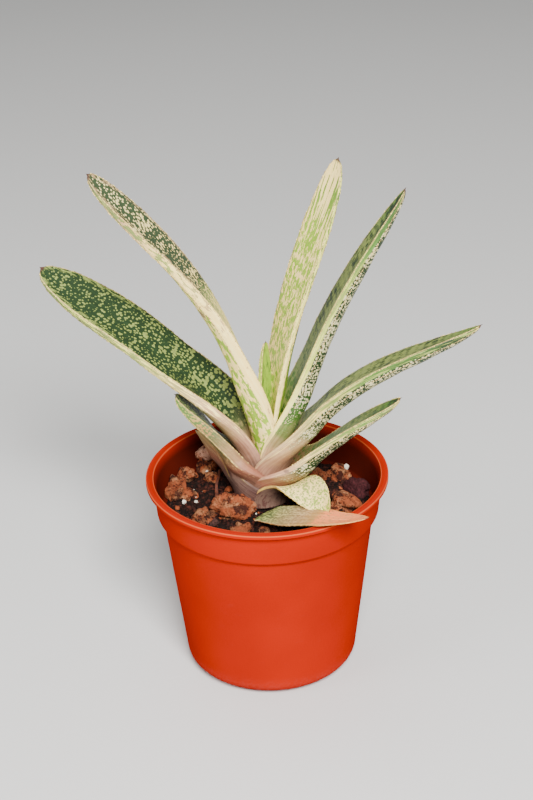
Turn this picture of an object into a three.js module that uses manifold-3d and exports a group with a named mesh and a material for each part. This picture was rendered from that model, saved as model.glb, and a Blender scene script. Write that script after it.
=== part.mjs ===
// A young gasteria in a plastic nursery pot, in millimetres, +Z up.
// The origin is the middle of the pot's flat underside.
// The leaves grow in two ranks, left (-X) and right (+X), from one short stem.
import * as THREE from 'three';
import { mergeVertices } from 'three/addons/utils/BufferGeometryUtils.js';
import Module from 'manifold-3d';

const wasm = await Module();
wasm.setup();

// ---- Driving dimensions -------------------------------------------------

const GAP = 0.3;              // clearance between touching pieces
const WELD = 0.001;           // points nearer than this are one
const SLIVER = 0.02;          // facets thinner than this are flattened

const POT = {
  rim: 40, height: 70,        // outer radius and height of the lip
  lipInner: 37.5, lipDrop: 1.3,
  collarTop: 37.9, collarBottom: 36.8, collarDrop: 12.4,
  wallTop: 35, shoulderDrop: 13.9,
  wallBottom: 29, edgeHeight: 5, foot: 22,
  wall: 1.3, floor: 1.6,
  sides: 40,
};
const DRAIN = { count: 4, radius: 3, ring: 15 };

const SOIL = { level: 58.5, dip: 1.6, relief: 0.9, rings: 7, sides: 40 };

// The stem leans a little to the right as it rises.
const STEM = { x: -1.5, y: 4, lean: 0.09, level: 59, root: 42, rootRadius: 2.5, neck: 8, top: 75.5 };

// One leaf each. Angles are in degrees and lengths in millimetres:
// side 1 is the right rank and -1 the left; azimuth is the heading seen from above, from +X;
// rise is the steepness at the root, changed along the leaf by bend and curl; swing turns the
// heading by the tip; roll and twist turn the flat face towards the front; clasp is the angle
// that each margin wraps round the stem, gone by the fraction open of the length; flare is the
// base's width as a share of the blade's; depth is the keel's, margin the blunt margin's height;
// keel is the keel's place between the middle (0) and the front margin (1); blunt rounds the tip.
const COMMON = {
  swing: 0, curl: 0, roll: 0, twist: 0, flare: 1.1, open: 0.35, clasp: 90, keel: 0.3, blunt: 2.4,
  shift: [0, 0], steps: 20,
};
const LEAVES = {
  leaf_centre: {
    side: -1, azimuth: 149.8, swing: 0.3, root: 74.1, reach: 1.2, rise: 100.6, bend: -20.8, curl: 8.3,
    roll: 3, twist: -6.7, length: 42, width: 8.7, depth: 3, margin: 1.8, clasp: 116, flare: 0.56,
    open: 0.35, blunt: 2.4, keel: 0.3, steps: 14,
  },
  leaf_right_1: {
    side: 1, azimuth: 21, swing: -6.9, root: 70.9, reach: 2.6, rise: 99.5, bend: -77.5, curl: 49.1,
    roll: -14.3, twist: 31.6, length: 107.1, width: 17.1, depth: 5.8, margin: 2, clasp: 139,
    flare: 0.74, open: 0.2, blunt: 3.1, keel: 0.22,
  },
  leaf_left_1: {
    side: -1, azimuth: 181.1, swing: 12.7, root: 68.6, reach: 4.5, rise: 108.1, bend: -124.7,
    curl: 63.3, roll: -24.4, twist: 52.4, length: 124.4, width: 17.2, depth: 8, margin: 4.1,
    clasp: 105, flare: 0.96, open: 0.4, blunt: 3.5, keel: 0.23,
  },
  leaf_right_2: {
    side: 1, azimuth: 2.9, swing: -7, root: 69.2, reach: 5.3, rise: 88.9, bend: -58.8, curl: 24.7,
    roll: 1.6, twist: -0.4, length: 107.2, width: 15.3, depth: 7.3, margin: 3.3, clasp: 120,
    flare: 1.45, open: 0.43, blunt: 2.4, keel: 0.6,
  },
  leaf_left_2: {
    side: -1, azimuth: 161.4, swing: -3.8, root: 69.5, reach: 6.1, rise: 79.3, bend: -120.4,
    curl: 67.8, roll: -7.7, twist: 19.9, length: 98, width: 23, depth: 3.8, margin: 3.7, clasp: 113,
    flare: 1.05, open: 0.51, blunt: 2.9, keel: 0.32,
  },
  leaf_right_3: {
    side: 1, azimuth: -19, swing: 10.8, root: 64.9, reach: 6.9, rise: 92.3, bend: -147.3, curl: 78.6,
    roll: 4.6, twist: -17.2, length: 94.9, width: 17.2, depth: 7.4, margin: 3.6, clasp: 111,
    flare: 1.56, open: 0.35, blunt: 1.8, keel: 0.6,
  },
  leaf_left_3: {
    side: -1, azimuth: 179.9, swing: -2.7, root: 64.5, reach: 7.6, rise: 85.6, bend: -63.1, curl: 12.4,
    roll: -33.5, twist: 28.1, length: 39.9, width: 19.9, depth: 3.1, margin: 4.6, clasp: 112, flare: 1.5,
    open: 0.54, blunt: 2.1, keel: 0.32, steps: 14,
  },
  leaf_right_4: {
    side: 1, azimuth: -21.4, swing: 13.4, root: 62, reach: 8.3, rise: 74.2, bend: -80.4, curl: 34.7,
    roll: -12.5, twist: 7.2, length: 55.3, width: 15.1, depth: 5.7, margin: 3.1, clasp: 111,
    flare: 2.12, open: 0.56, blunt: 2, keel: 0.56, steps: 16,
  },
  leaf_left_4: {
    side: -1, azimuth: 191.7, swing: 0.5, root: 60.5, reach: 9, rise: 82.9, bend: -30, curl: -9.8,
    roll: -38, twist: 16.6, length: 29.8, width: 14.5, depth: 1.8, margin: 1.1, clasp: 107,
    flare: 2.33, open: 0.53, blunt: 2.2, keel: 0.18, steps: 12,
  },
  leaf_drooping: {
    side: 1, azimuth: -53, swing: -8.9, root: 60, reach: 9.5, rise: 95.1, bend: -216.6, curl: 104.6,
    roll: -46.3, twist: 120, length: 35.9, width: 12.4, depth: 2, margin: 1, clasp: 60, flare: 1.61,
    open: 0.6, blunt: 2.1, keel: 0.2, steps: 20,
  },
  leaf_withered: {
    side: 1, azimuth: -41.5, swing: 3, root: 62.6, reach: 5, rise: 24.8, bend: -33, curl: 31, roll: 17,
    twist: -28.5, length: 45, width: 12, depth: 1.8, margin: 0.8, clasp: 0, flare: 0.65, open: 0.12,
    keel: 0.2, shift: [-4.7, -15.2], steps: 14,
  },
};
// The thin sheath at a leaf's root, grown out to the blade by the fraction spread.
const SHEATH = { depth: 0.6, margin: 0.5, spread: 0.3 };
const BLADE = {
  widest: 0.45, thinning: 0.45, marginThinning: 0.35, channel: 0.08, undercut: 0.2, end: 0.985,
};
const MUCRO = 0.8;            // point on each leaf's tip

// Chunks of lava and bark lying in the soil: middle, half sizes and turn about the upright.
const STONES = {
  stone_left: { at: [-30, 9.5], size: [4.4, 6.2, 4.4], turn: 12, seed: 3, sink: 0.35 },
  stone_left_back: { at: [-20, 26], size: [3.6, 3.2, 3.4], turn: 40, seed: 5, sink: 0.3 },
  stone_left_small: { at: [-18.8, 17.5], size: [2.7, 2.1, 2], turn: -15, seed: 7, sink: 0.35 },
  stone_left_round: { at: [-21, -9.5], size: [3.4, 3.1, 3.1], turn: 20, seed: 9, sink: 0.35 },
  stone_front_large: { at: [-11, -6], size: [6.6, 4.8, 4.8], turn: -10, seed: 11, sink: 0.3 },
  stone_front: { at: [-9.4, -17.4], size: [3.5, 3, 3], turn: 35, seed: 13, sink: 0.35 },
  stone_front_small: { at: [-1.6, -18.6], size: [2.3, 2, 2], turn: 0, seed: 15, sink: 0.4 },
  stone_right_back: { at: [24.5, 17.5], size: [4.1, 3.6, 3.6], turn: -30, seed: 17, sink: 0.3 },
  stone_right_inner: { at: [17.2, 15.6], size: [2.8, 2.6, 2.6], turn: 15, seed: 19, sink: 0.35 },
  stone_right: { at: [24.8, -3.6], size: [4.4, 4, 3.8], turn: -20, seed: 21, sink: 0.3 },
  bark_right: { at: [31, 7], size: [2.7, 5, 3.6], turn: 12, seed: 23, sink: 0.3 },
  stone_back: { at: [3, 29], size: [4.4, 3.6, 3.4], turn: 65, seed: 25, sink: 0.35 },
  stone_back_left: { at: [-9, 24], size: [3, 3.4, 2.8], turn: 10, seed: 27, sink: 0.35 },
  stone_back_right: { at: [12, 25.5], size: [2.8, 2.4, 2.4], turn: 50, seed: 29, sink: 0.35 },
};

// ---- Helpers ------------------------------------------------------------

const rad = THREE.MathUtils.degToRad;
const { clamp, lerp, smoothstep } = THREE.MathUtils;

function seeded(seed) {
  let state = seed * 7919 + 13;
  return () => {
    state = (state * 16807) % 2147483647;
    return state / 2147483647;
  };
}

function toSolid(geometry) {
  const bare = geometry.clone();
  for (const name of ['normal', 'uv', 'uv1']) bare.deleteAttribute(name);
  const merged = mergeVertices(bare, WELD);
  return new wasm.Manifold(new wasm.Mesh({
    numProp: 3,
    vertProperties: new Float32Array(merged.attributes.position.array),
    triVerts: new Uint32Array(merged.index.array),
  }));
}

function toGeometry(solid) {
  const mesh = solid.getMesh();
  const geometry = new THREE.BufferGeometry();
  geometry.setAttribute('position', new THREE.BufferAttribute(new Float32Array(mesh.vertProperties), 3));
  geometry.setIndex(new THREE.BufferAttribute(new Uint32Array(mesh.triVerts), 1));
  geometry.computeVertexNormals();
  return geometry;
}

// The largest of the bodies that a cut leaves; slivers are smoothed away and loose scraps dropped.
function largest(solid) {
  const bodies = toSolid(toGeometry(solid.simplify(SLIVER))).decompose();
  return bodies.reduce((best, body) => (body.volume() > best.volume() ? body : best));
}

// A closed solid from rings of equal length. Each end is a point to fan to, or a list of the
// triangles, by their places in the ring, that close the first ring.
function loft(rings, start, end) {
  const count = rings[0].length;
  const points = rings.flat();
  const faces = [];
  for (let i = 0; i < rings.length - 1; i += 1) {
    const a = i * count;
    const b = a + count;
    for (let j = 0; j < count; j += 1) {
      const k = (j + 1) % count;
      faces.push(a + j, a + k, b + k, a + j, b + k, b + j);
    }
  }
  const last = (rings.length - 1) * count;
  for (let j = 0; j < count; j += 1) faces.push(points.length, last + j, last + ((j + 1) % count));
  points.push(end);
  if (Array.isArray(start)) {
    for (const [a, b, c] of start) faces.push(c, b, a);
  } else {
    for (let j = 0; j < count; j += 1) faces.push(points.length, (j + 1) % count, j);
    points.push(start);
  }
  const solidOf = (order) => {
    const geometry = new THREE.BufferGeometry();
    const places = points.flatMap((p) => p.toArray());
    geometry.setAttribute('position', new THREE.Float32BufferAttribute(places, 3));
    geometry.setIndex(order);
    return toSolid(geometry);
  };
  const solid = solidOf(faces);
  return solid.volume() > 0 ? solid : solidOf([...faces].reverse());
}

// ---- Leaves -------------------------------------------------------------

// Points and directions along a leaf's middle line.
function spine(leaf) {
  const steps = 200;
  const a = rad(leaf.azimuth);
  const point = new THREE.Vector3(
    STEM.x + STEM.lean * (leaf.root - STEM.level) + Math.cos(a) * leaf.reach + leaf.shift[0],
    STEM.y + Math.sin(a) * leaf.reach + leaf.shift[1],
    leaf.root,
  );
  const heading = (s) => {
    const up = rad(leaf.rise + leaf.bend * s + leaf.curl * s * s);
    const around = rad(leaf.azimuth + leaf.swing * s);
    return new THREE.Vector3(
      Math.cos(up) * Math.cos(around), Math.cos(up) * Math.sin(around), Math.sin(up),
    );
  };
  const points = [point.clone()];
  for (let i = 0; i < steps; i += 1) {
    point.addScaledVector(heading((i + 0.5) / steps), leaf.length / steps);
    points.push(point.clone());
  }
  return {
    heading,
    at: (s) => {
      const i = clamp(Math.floor(s * steps), 0, steps - 1);
      return points[i].clone().lerp(points[i + 1], s * steps - i);
    },
  };
}

// Across: towards the front margin. Face: out of the upper, flat face.
function crossFrame(leaf, s, along) {
  const around = rad(leaf.azimuth + leaf.swing * s);
  const across = new THREE.Vector3(Math.sin(around), -Math.cos(around), 0).multiplyScalar(leaf.side);
  const face = across.clone().cross(along).multiplyScalar(leaf.side);
  const turn = rad(leaf.roll + leaf.twist * s) * smoothstep(s, 0, leaf.open);
  return {
    across: across.clone().multiplyScalar(Math.cos(turn)).addScaledVector(face, -Math.sin(turn)),
    face: face.clone().multiplyScalar(Math.cos(turn)).addScaledVector(across, Math.sin(turn)),
  };
}

// The section as [across, face] pairs: a channelled upper face, blunt margins and a keel below.
function section(leaf, s) {
  const grown = smoothstep(s, 0, SHEATH.spread);
  const toTip = clamp((s - BLADE.widest) / (1 - BLADE.widest), 0, 1);
  const flare = lerp(leaf.flare, 1, smoothstep(s, 0, 0.35));
  const w = (leaf.width / 2) * flare * Math.sqrt(1 - toTip ** leaf.blunt);
  const endFade = Math.sqrt(1 - clamp((s - 0.6) / 0.4, 0, 1) ** 3);
  const blunt = lerp(SHEATH.margin, leaf.margin * (1 - BLADE.marginThinning * s), grown) * endFade;
  const m = Math.min(blunt, w * 1.2);
  const body = lerp(SHEATH.depth, leaf.depth * (1 - BLADE.thinning * s), grown) * Math.sqrt(1 - s ** 6);
  const h = Math.max(body, m * 1.12);
  const inset = BLADE.undercut * m;
  const keel = leaf.keel * grown * w;
  const dip = (f) => [f * w, -BLADE.channel * grown * w * (1 - f * f)];
  const belly = (f, from, depth) => [
    lerp(from, keel, f) + Math.sign(from) * 0.03 * w, -lerp(depth, h, f) - 0.04 * w,
  ];
  const front = w - inset;
  const back = -w + inset;
  return [
    [-w, -0.2 * m], ...[-0.75, -0.5, -0.25, 0, 0.25, 0.5, 0.75].map(dip), [w - 0.12 * m, 0], [w, -0.18 * m],
    [front, -m], belly(0.33, front, m), belly(0.67, front, m), [keel, -h],
    ...[0.75, 0.5, 0.25].map((f) => belly(f, back, 0.75 * m)), [back, -0.75 * m],
  ];
}

// The section's outline moved outward by grow, with its corners kept sharp.
function grownOutline(outline, grow) {
  const normal = (a, b) => new THREE.Vector2(-(b[1] - a[1]), b[0] - a[0]).normalize();
  return outline.map((point, i) => {
    const before = normal(outline[(i + outline.length - 1) % outline.length], point);
    const after = normal(point, outline[(i + 1) % outline.length]);
    const corner = Math.max(1 + before.dot(after), 0.5);
    const shift = before.add(after).multiplyScalar(grow / corner);
    return [point[0] + shift.x, point[1] + shift.y];
  });
}

// Sections lie closer together at the root and at the tip, where the shape changes fast.
function station(f) {
  const even = 1 - (1 - f) ** 1.3;
  return lerp(even * even, even, smoothstep(f, 0, 0.6));
}

// Triangles across a section, zipped between its upper and its lower edge.
function sectionCap() {
  const upper = [0, 1, 2, 3, 4, 5, 6, 7, 8, 9];
  const lower = [17, 16, 15, 14, 13, 12, 11, 10];
  const faces = [];
  let i = 0;
  let j = 0;
  while (i < upper.length - 1 || j < lower.length - 1) {
    if (i * (lower.length - 1) <= j * (upper.length - 1) && i < upper.length - 1) {
      faces.push([upper[i], upper[i + 1], lower[j]]);
      i += 1;
    } else {
      faces.push([upper[i], lower[j + 1], lower[j]]);
      j += 1;
    }
  }
  return faces;
}

function leafSolid(leaf, grow = 0) {
  const line = spine(leaf);
  const rootWidth = (leaf.width / 2) * leaf.flare;
  const rings = [];
  for (let i = 0; i <= leaf.steps; i += 1) {
    const s = BLADE.end * station(i / leaf.steps);
    const along = line.heading(s);
    const { across, face } = crossFrame(leaf, s, along);
    const middle = line.at(s);
    if (i === 0) middle.addScaledVector(along, -grow);
    const curvature = Math.max(rad(leaf.clasp) * (1 - smoothstep(s, 0, leaf.open)) / rootWidth, 1e-5);
    rings.push(grownOutline(section(leaf, s), grow).map(([u, n]) => {
      const radius = 1 / curvature - n;
      return middle.clone()
        .addScaledVector(across, radius * Math.sin(u * curvature))
        .addScaledVector(face, 1 / curvature - radius * Math.cos(u * curvature));
    }));
  }
  const tip = line.at(1).addScaledVector(line.heading(1), MUCRO + grow);
  return loft(rings, sectionCap(), tip);
}

// ---- Pot, soil and stem -------------------------------------------------

function lathe(profile, sides) {
  const geometry = new THREE.LatheGeometry(profile.map(([r, z]) => new THREE.Vector2(r, z)), sides);
  geometry.rotateX(Math.PI / 2);
  const solid = toSolid(geometry);
  return solid;
}

const lipZ = POT.height;
const collarZ = lipZ - POT.collarDrop;
const shoulderZ = lipZ - POT.shoulderDrop;

function innerRadius(z) {
  const outer = z > shoulderZ
    ? POT.wallTop + (POT.collarBottom - POT.wallTop) * clamp((z - shoulderZ) / (collarZ - shoulderZ), 0, 1)
    : lerp(POT.wallBottom, POT.wallTop, (z - POT.edgeHeight) / (shoulderZ - POT.edgeHeight));
  return outer - POT.wall;
}

function potSolid() {
  const edge = [];
  for (let i = 0; i <= 4; i += 1) {
    const turn = (i / 4) * (Math.PI / 2);
    edge.push([
      POT.foot + (POT.wallBottom - POT.foot) * Math.sin(turn),
      POT.edgeHeight * (1 - Math.cos(turn)),
    ]);
  }
  const underside = lipZ - POT.lipDrop;
  const lip = [
    [POT.collarTop, underside], [POT.rim - 0.3, underside], [POT.rim, underside + 0.3],
    [POT.rim, lipZ - 0.25], [POT.rim - 0.25, lipZ], [POT.lipInner + 0.25, lipZ], [POT.lipInner, lipZ - 0.25],
  ];
  const inside = [
    [POT.collarTop - POT.wall, underside - 1.3], [POT.collarBottom - POT.wall, collarZ],
    [POT.wallTop - POT.wall, shoulderZ], [POT.wallBottom - POT.wall, POT.edgeHeight + 1],
    [POT.foot, POT.floor + 0.8], [POT.foot - 3, POT.floor], [0, POT.floor],
  ];
  const profile = [
    [0, 0], ...edge, [POT.wallTop, shoulderZ], [POT.collarBottom, collarZ], ...lip, ...inside,
  ];
  let pot = lathe(profile, POT.sides);
  for (let i = 0; i < DRAIN.count; i += 1) {
    const angle = ((i + 0.5) / DRAIN.count) * Math.PI * 2;
    const hole = new THREE.CylinderGeometry(DRAIN.radius, DRAIN.radius, POT.floor * 4, 12);
    hole.rotateX(Math.PI / 2);
    hole.translate(DRAIN.ring * Math.cos(angle), DRAIN.ring * Math.sin(angle), 0);
    pot = pot.subtract(toSolid(hole));
  }
  return pot;
}

// The soil's surface: a shallow dip towards the stem with low humps.
function soilHeight(x, y) {
  const r = Math.hypot(x, y);
  const humps = Math.sin(x * 0.42 + 1.3) * Math.cos(y * 0.37 - 0.6) + 0.5 * Math.sin(x * 0.9 - y * 0.7);
  return SOIL.level - SOIL.dip * (r / POT.wallTop) ** 2 + SOIL.relief * humps * (1 - (r / 40) ** 4);
}

function soilSolid() {
  const rings = [];
  const ring = (radius, height) => Array.from({ length: SOIL.sides }, (_, j) => {
    const turn = (j / SOIL.sides) * Math.PI * 2;
    const x = radius * Math.cos(turn);
    const y = radius * Math.sin(turn);
    return new THREE.Vector3(x, y, height === undefined ? soilHeight(x, y) : height);
  });
  const bottom = POT.edgeHeight + 1.5;
  rings.push(ring(POT.foot - 4, POT.floor + GAP));
  rings.push(ring(innerRadius(bottom) - GAP * 2, bottom));
  rings.push(ring(innerRadius(shoulderZ - 0.5) - GAP * 2, shoulderZ - 0.5));
  for (let i = SOIL.rings; i > 0; i -= 1) {
    rings.push(ring((innerRadius(shoulderZ - 0.5) - GAP * 2) * (i / SOIL.rings)));
  }
  const top = new THREE.Vector3(0, 0, soilHeight(0, 0));
  return loft(rings, new THREE.Vector3(0, 0, POT.floor + GAP), top);
}

function stemRings(grow) {
  const levels = [
    [STEM.root - grow, 0.8], [STEM.root + 3, STEM.rootRadius], [STEM.level - 5, STEM.neck - 1.5],
    [STEM.level - 1, STEM.neck], [STEM.level + 3, STEM.neck - 0.4], [STEM.level + 5.5, 6.3],
    [STEM.level + 9.5, 3.9], [STEM.level + 12, 2.1], [STEM.level + 15, 0.8], [STEM.top + grow, 0.3],
  ];
  return levels.map(([z, radius]) => Array.from({ length: 20 }, (_, j) => {
    const turn = (j / 20) * Math.PI * 2;
    const reach = radius + grow;
    const x = STEM.x + STEM.lean * (z - STEM.level);
    return new THREE.Vector3(x + reach * Math.cos(turn), STEM.y + reach * Math.sin(turn), z);
  }));
}

function stemSolid(grow = 0) {
  const rings = stemRings(grow);
  const middle = (ring) => ring
    .reduce((sum, p) => sum.add(p), new THREE.Vector3())
    .divideScalar(ring.length);
  return loft(rings, middle(rings[0]), middle(rings[rings.length - 1]));
}

// The room inside the pot, a gap clear of its wall.
function cavitySolid() {
  const inset = GAP * 2;
  const top = POT.lipInner - inset;
  return lathe([
    [0, POT.floor + inset], [POT.foot, POT.floor + 1 + inset],
    [innerRadius(POT.edgeHeight + 1) - inset, POT.edgeHeight + 1],
    [innerRadius(shoulderZ) - inset, shoulderZ], [innerRadius(collarZ) - inset, collarZ],
    [top, lipZ], [0, lipZ],
  ], POT.sides);
}

// ---- Stones -------------------------------------------------------------

function stoneSolid(stone, grow = 0) {
  const draw = seeded(stone.seed);
  const waves = Array.from({ length: 5 }, () => ({
    axis: new THREE.Vector3(draw() - 0.5, draw() - 0.5, draw() - 0.5).normalize(),
    pitch: 1.6 + 2.2 * draw(), phase: 6.28 * draw(), height: 0.05 + 0.06 * draw(),
  }));
  const largeStone = Math.max(...stone.size) > 4;
  const geometry = new THREE.IcosahedronGeometry(1, largeStone ? 2 : 1);
  const position = geometry.attributes.position;
  const point = new THREE.Vector3();
  for (let i = 0; i < position.count; i += 1) {
    point.fromBufferAttribute(position, i).normalize();
    const wave = (w) => w.height * Math.sin(w.pitch * point.dot(w.axis) * 2 + w.phase);
    const bump = waves.reduce((sum, w) => sum + wave(w), 1);
    position.setXYZ(
      i,
      point.x * (stone.size[0] * bump + grow),
      point.y * (stone.size[1] * bump + grow),
      point.z * (stone.size[2] * bump + grow),
    );
  }
  geometry.rotateZ(rad(stone.turn));
  const [x, y] = stone.at;
  geometry.translate(x, y, soilHeight(x, y) + stone.size[2] * (1 - 2 * stone.sink));
  return toSolid(geometry);
}

// ---- Assembly -----------------------------------------------------------

const MATERIALS = {
  pot: { color: 0xd8502a, roughness: 0.45 },
  soil: { color: 0x2a1c18, roughness: 0.95 },
  stem: { color: 0xa88a78, roughness: 0.6 },
  leaf_dark: { color: 0x4c7150, roughness: 0.45 },
  leaf_pale: { color: 0xc3cf8c, roughness: 0.45 },
  leaf_dry: { color: 0xc99a7c, roughness: 0.7 },
  stone: { color: 0xa85c3a, roughness: 0.9 },
  bark: { color: 0x4a2a2c, roughness: 0.9 },
};
const LEAF_FINISH = {
  leaf_centre: 'leaf_pale', leaf_right_1: 'leaf_pale', leaf_drooping: 'leaf_pale',
  leaf_withered: 'leaf_dry', leaf_left_4: 'leaf_dry',
};

const plant = new THREE.Group();

function addPiece(name, solid, finish) {
  const material = new THREE.MeshStandardMaterial({ ...MATERIALS[finish], metalness: 0 });
  const mesh = new THREE.Mesh(toGeometry(solid), material);
  mesh.name = name;
  plant.add(mesh);
}

const leaves = Object.entries(LEAVES).map(([name, own]) => [name, { ...COMMON, ...own }]);

// From the youngest leaf outward, each is cut clear of the stem and of the leaves inside it.
let inner = stemSolid(GAP);
for (const [name, leaf] of leaves) {
  addPiece(name, largest(leafSolid(leaf).subtract(inner)), LEAF_FINISH[name] ?? 'leaf_dark');
  inner = inner.add(leafSolid(leaf, GAP));
}
addPiece('stem', stemSolid(), 'stem');

// Each stone is cut clear of the leaves, of the pot and of the stones before it, and lies in its own hollow.
const cavity = cavitySolid();
let hollows = inner;
for (const [name, stone] of Object.entries(STONES)) {
  const chunk = stoneSolid(stone).subtract(hollows).intersect(cavity);
  addPiece(name, largest(chunk), name.startsWith('bark') ? 'bark' : 'stone');
  hollows = hollows.add(stoneSolid(stone, GAP));
}
addPiece('soil', largest(soilSolid().subtract(hollows)), 'soil');
addPiece('pot', potSolid(), 'pot');

export default plant;
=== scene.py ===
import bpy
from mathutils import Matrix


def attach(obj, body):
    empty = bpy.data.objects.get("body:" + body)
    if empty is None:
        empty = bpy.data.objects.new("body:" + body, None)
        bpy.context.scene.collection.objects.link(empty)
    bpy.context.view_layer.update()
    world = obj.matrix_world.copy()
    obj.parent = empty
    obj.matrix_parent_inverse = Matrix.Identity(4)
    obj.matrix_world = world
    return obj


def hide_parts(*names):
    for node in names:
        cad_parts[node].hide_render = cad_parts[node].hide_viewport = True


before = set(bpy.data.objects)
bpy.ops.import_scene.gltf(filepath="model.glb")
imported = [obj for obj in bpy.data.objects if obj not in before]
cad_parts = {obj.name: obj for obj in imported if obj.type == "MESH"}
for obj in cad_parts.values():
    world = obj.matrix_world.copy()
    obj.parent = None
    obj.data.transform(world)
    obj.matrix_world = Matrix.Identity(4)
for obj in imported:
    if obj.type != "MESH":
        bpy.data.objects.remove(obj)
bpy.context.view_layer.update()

import math

import bmesh
import bpy
import numpy as np
from mathutils import Matrix, Vector, noise

bl_info = {
    "name": "Potted gasteria",
    "version": (1, 0, 0),
    "blender": (4, 5, 0),
    "location": "View3D > Sidebar > Gasteria",
    "description": "Builds a young gasteria in a plastic nursery pot, piece by piece",
    "category": "Object",
}

MM = 0.001

# ---- The plant's measures, in millimetres and degrees --------------------

STEM = {"x": -1.5, "y": 4.0, "lean": 0.09, "level": 59.0}
STEM_PROFILE = [
    (0, 42), (0.8, 42.1), (2.5, 45), (6.5, 54), (8, 58), (7.6, 62), (6.3, 64.5), (3.9, 68.5), (2.1, 71),
    (0.8, 74), (0, 75.5),
]
STEM_SIDES = 48
# The leaf's root clasps the stem as a thin sheath, and thickens to a blade.
SHEATH = {"depth": 0.6, "margin": 0.5, "spread": 0.3}
BLADE = {"widest": 0.45, "thinning": 0.45, "margin_thinning": 0.35, "channel": 0.08, "undercut": 0.2}
# Each leaf's side of the plant; its compass direction (azimuth) and how that swings along it; the
# root's height and how far it stands from the stem's axis (reach); its rise above level at the root,
# and how that bends and curls; its roll and twist about its own line; its length, width, depth and
# margin; and how far it clasps the stem, flares at the root, opens out, is blunt and is keeled.
COMMON = {"open": 0.35, "keel": 0.3, "blunt": 2.4, "shift": (0, 0)}
LEAVES = {
    "leaf_centre": {
        "side": -1, "azimuth": 149.8, "swing": 0.3, "root": 74.1, "reach": 1.2, "rise": 100.6,
        "bend": -20.8, "curl": 8.3, "roll": 3, "twist": -6.7, "length": 42, "width": 8.7, "depth": 3,
        "margin": 1.8, "clasp": 116, "flare": 0.56,
    },
    "leaf_right_1": {
        "side": 1, "azimuth": 21, "swing": -6.9, "root": 70.9, "reach": 2.6, "rise": 99.5, "bend": -77.5,
        "curl": 49.1, "roll": -14.3, "twist": 31.6, "length": 107.1, "width": 17.1, "depth": 5.8,
        "margin": 2, "clasp": 139, "flare": 0.74, "open": 0.2, "blunt": 3.1, "keel": 0.22,
    },
    "leaf_left_1": {
        "side": -1, "azimuth": 181.1, "swing": 12.7, "root": 68.6, "reach": 4.5, "rise": 108.1,
        "bend": -124.7, "curl": 63.3, "roll": -24.4, "twist": 52.4, "length": 124.4, "width": 17.2,
        "depth": 8, "margin": 4.1, "clasp": 105, "flare": 0.96, "open": 0.4, "blunt": 3.5, "keel": 0.23,
    },
    "leaf_right_2": {
        "side": 1, "azimuth": 2.9, "swing": -7, "root": 69.2, "reach": 5.3, "rise": 88.9, "bend": -58.8,
        "curl": 24.7, "roll": 1.6, "twist": -0.4, "length": 107.2, "width": 15.3, "depth": 7.3,
        "margin": 3.3, "clasp": 120, "flare": 1.45, "open": 0.43, "keel": 0.6,
    },
    "leaf_left_2": {
        "side": -1, "azimuth": 161.4, "swing": -3.8, "root": 69.5, "reach": 6.1, "rise": 79.3,
        "bend": -120.4, "curl": 67.8, "roll": -7.7, "twist": 19.9, "length": 98, "width": 23,
        "depth": 3.8, "margin": 3.7, "clasp": 113, "flare": 1.05, "open": 0.51, "blunt": 2.9,
        "keel": 0.32,
    },
    "leaf_right_3": {
        "side": 1, "azimuth": -19, "swing": 10.8, "root": 64.9, "reach": 6.9, "rise": 92.3,
        "bend": -147.3, "curl": 78.6, "roll": 4.6, "twist": -17.2, "length": 94.9, "width": 17.2,
        "depth": 7.4, "margin": 3.6, "clasp": 111, "flare": 1.56, "blunt": 1.8, "keel": 0.6,
    },
    "leaf_left_3": {
        "side": -1, "azimuth": 179.9, "swing": -2.7, "root": 64.5, "reach": 7.6, "rise": 85.6,
        "bend": -63.1, "curl": 12.4, "roll": -33.5, "twist": 28.1, "length": 39.9, "width": 19.9,
        "depth": 3.1, "margin": 4.6, "clasp": 112, "flare": 1.5, "open": 0.54, "blunt": 2.1, "keel": 0.32,
    },
    "leaf_right_4": {
        "side": 1, "azimuth": -21.4, "swing": 13.4, "root": 62, "reach": 8.3, "rise": 74.2, "bend": -80.4,
        "curl": 34.7, "roll": -12.5, "twist": 7.2, "length": 55.3, "width": 15.1, "depth": 5.7,
        "margin": 3.1, "clasp": 111, "flare": 2.12, "open": 0.56, "blunt": 2, "keel": 0.56,
    },
    "leaf_left_4": {
        "side": -1, "azimuth": 191.7, "swing": 0.5, "root": 60.5, "reach": 9, "rise": 82.9, "bend": -30,
        "curl": -9.8, "roll": -38, "twist": 16.6, "length": 29.8, "width": 14.5, "depth": 1.8,
        "margin": 1.1, "clasp": 107, "flare": 2.33, "open": 0.53, "blunt": 2.2, "keel": 0.18,
    },
    "leaf_drooping": {
        "side": 1, "azimuth": -53, "swing": -8.9, "root": 60, "reach": 9.5, "rise": 95.1, "bend": -216.6,
        "curl": 104.6, "roll": -46.3, "twist": 120, "length": 35.9, "width": 12.4, "depth": 2,
        "margin": 1, "clasp": 60, "flare": 1.61, "open": 0.6, "blunt": 2.1, "keel": 0.2,
    },
    "leaf_withered": {
        "side": 1, "azimuth": -41.5, "swing": 3, "root": 62.6, "reach": 5, "rise": 24.8, "bend": -33,
        "curl": 31, "roll": 17, "twist": -28.5, "length": 45, "width": 12, "depth": 1.8, "margin": 0.8,
        "clasp": 0, "flare": 0.65, "open": 0.12, "keel": 0.2, "shift": (-4.7, -15.2),
    },
}


def run(text):
    """Stops from root (0) to tip (1), written as the first value, then a place with each next one."""
    stops = []
    for part in text.split(","):
        *place, value = part.split()
        stops.append((float(place[0]) if place else 0.0, value))
    return stops


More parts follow.
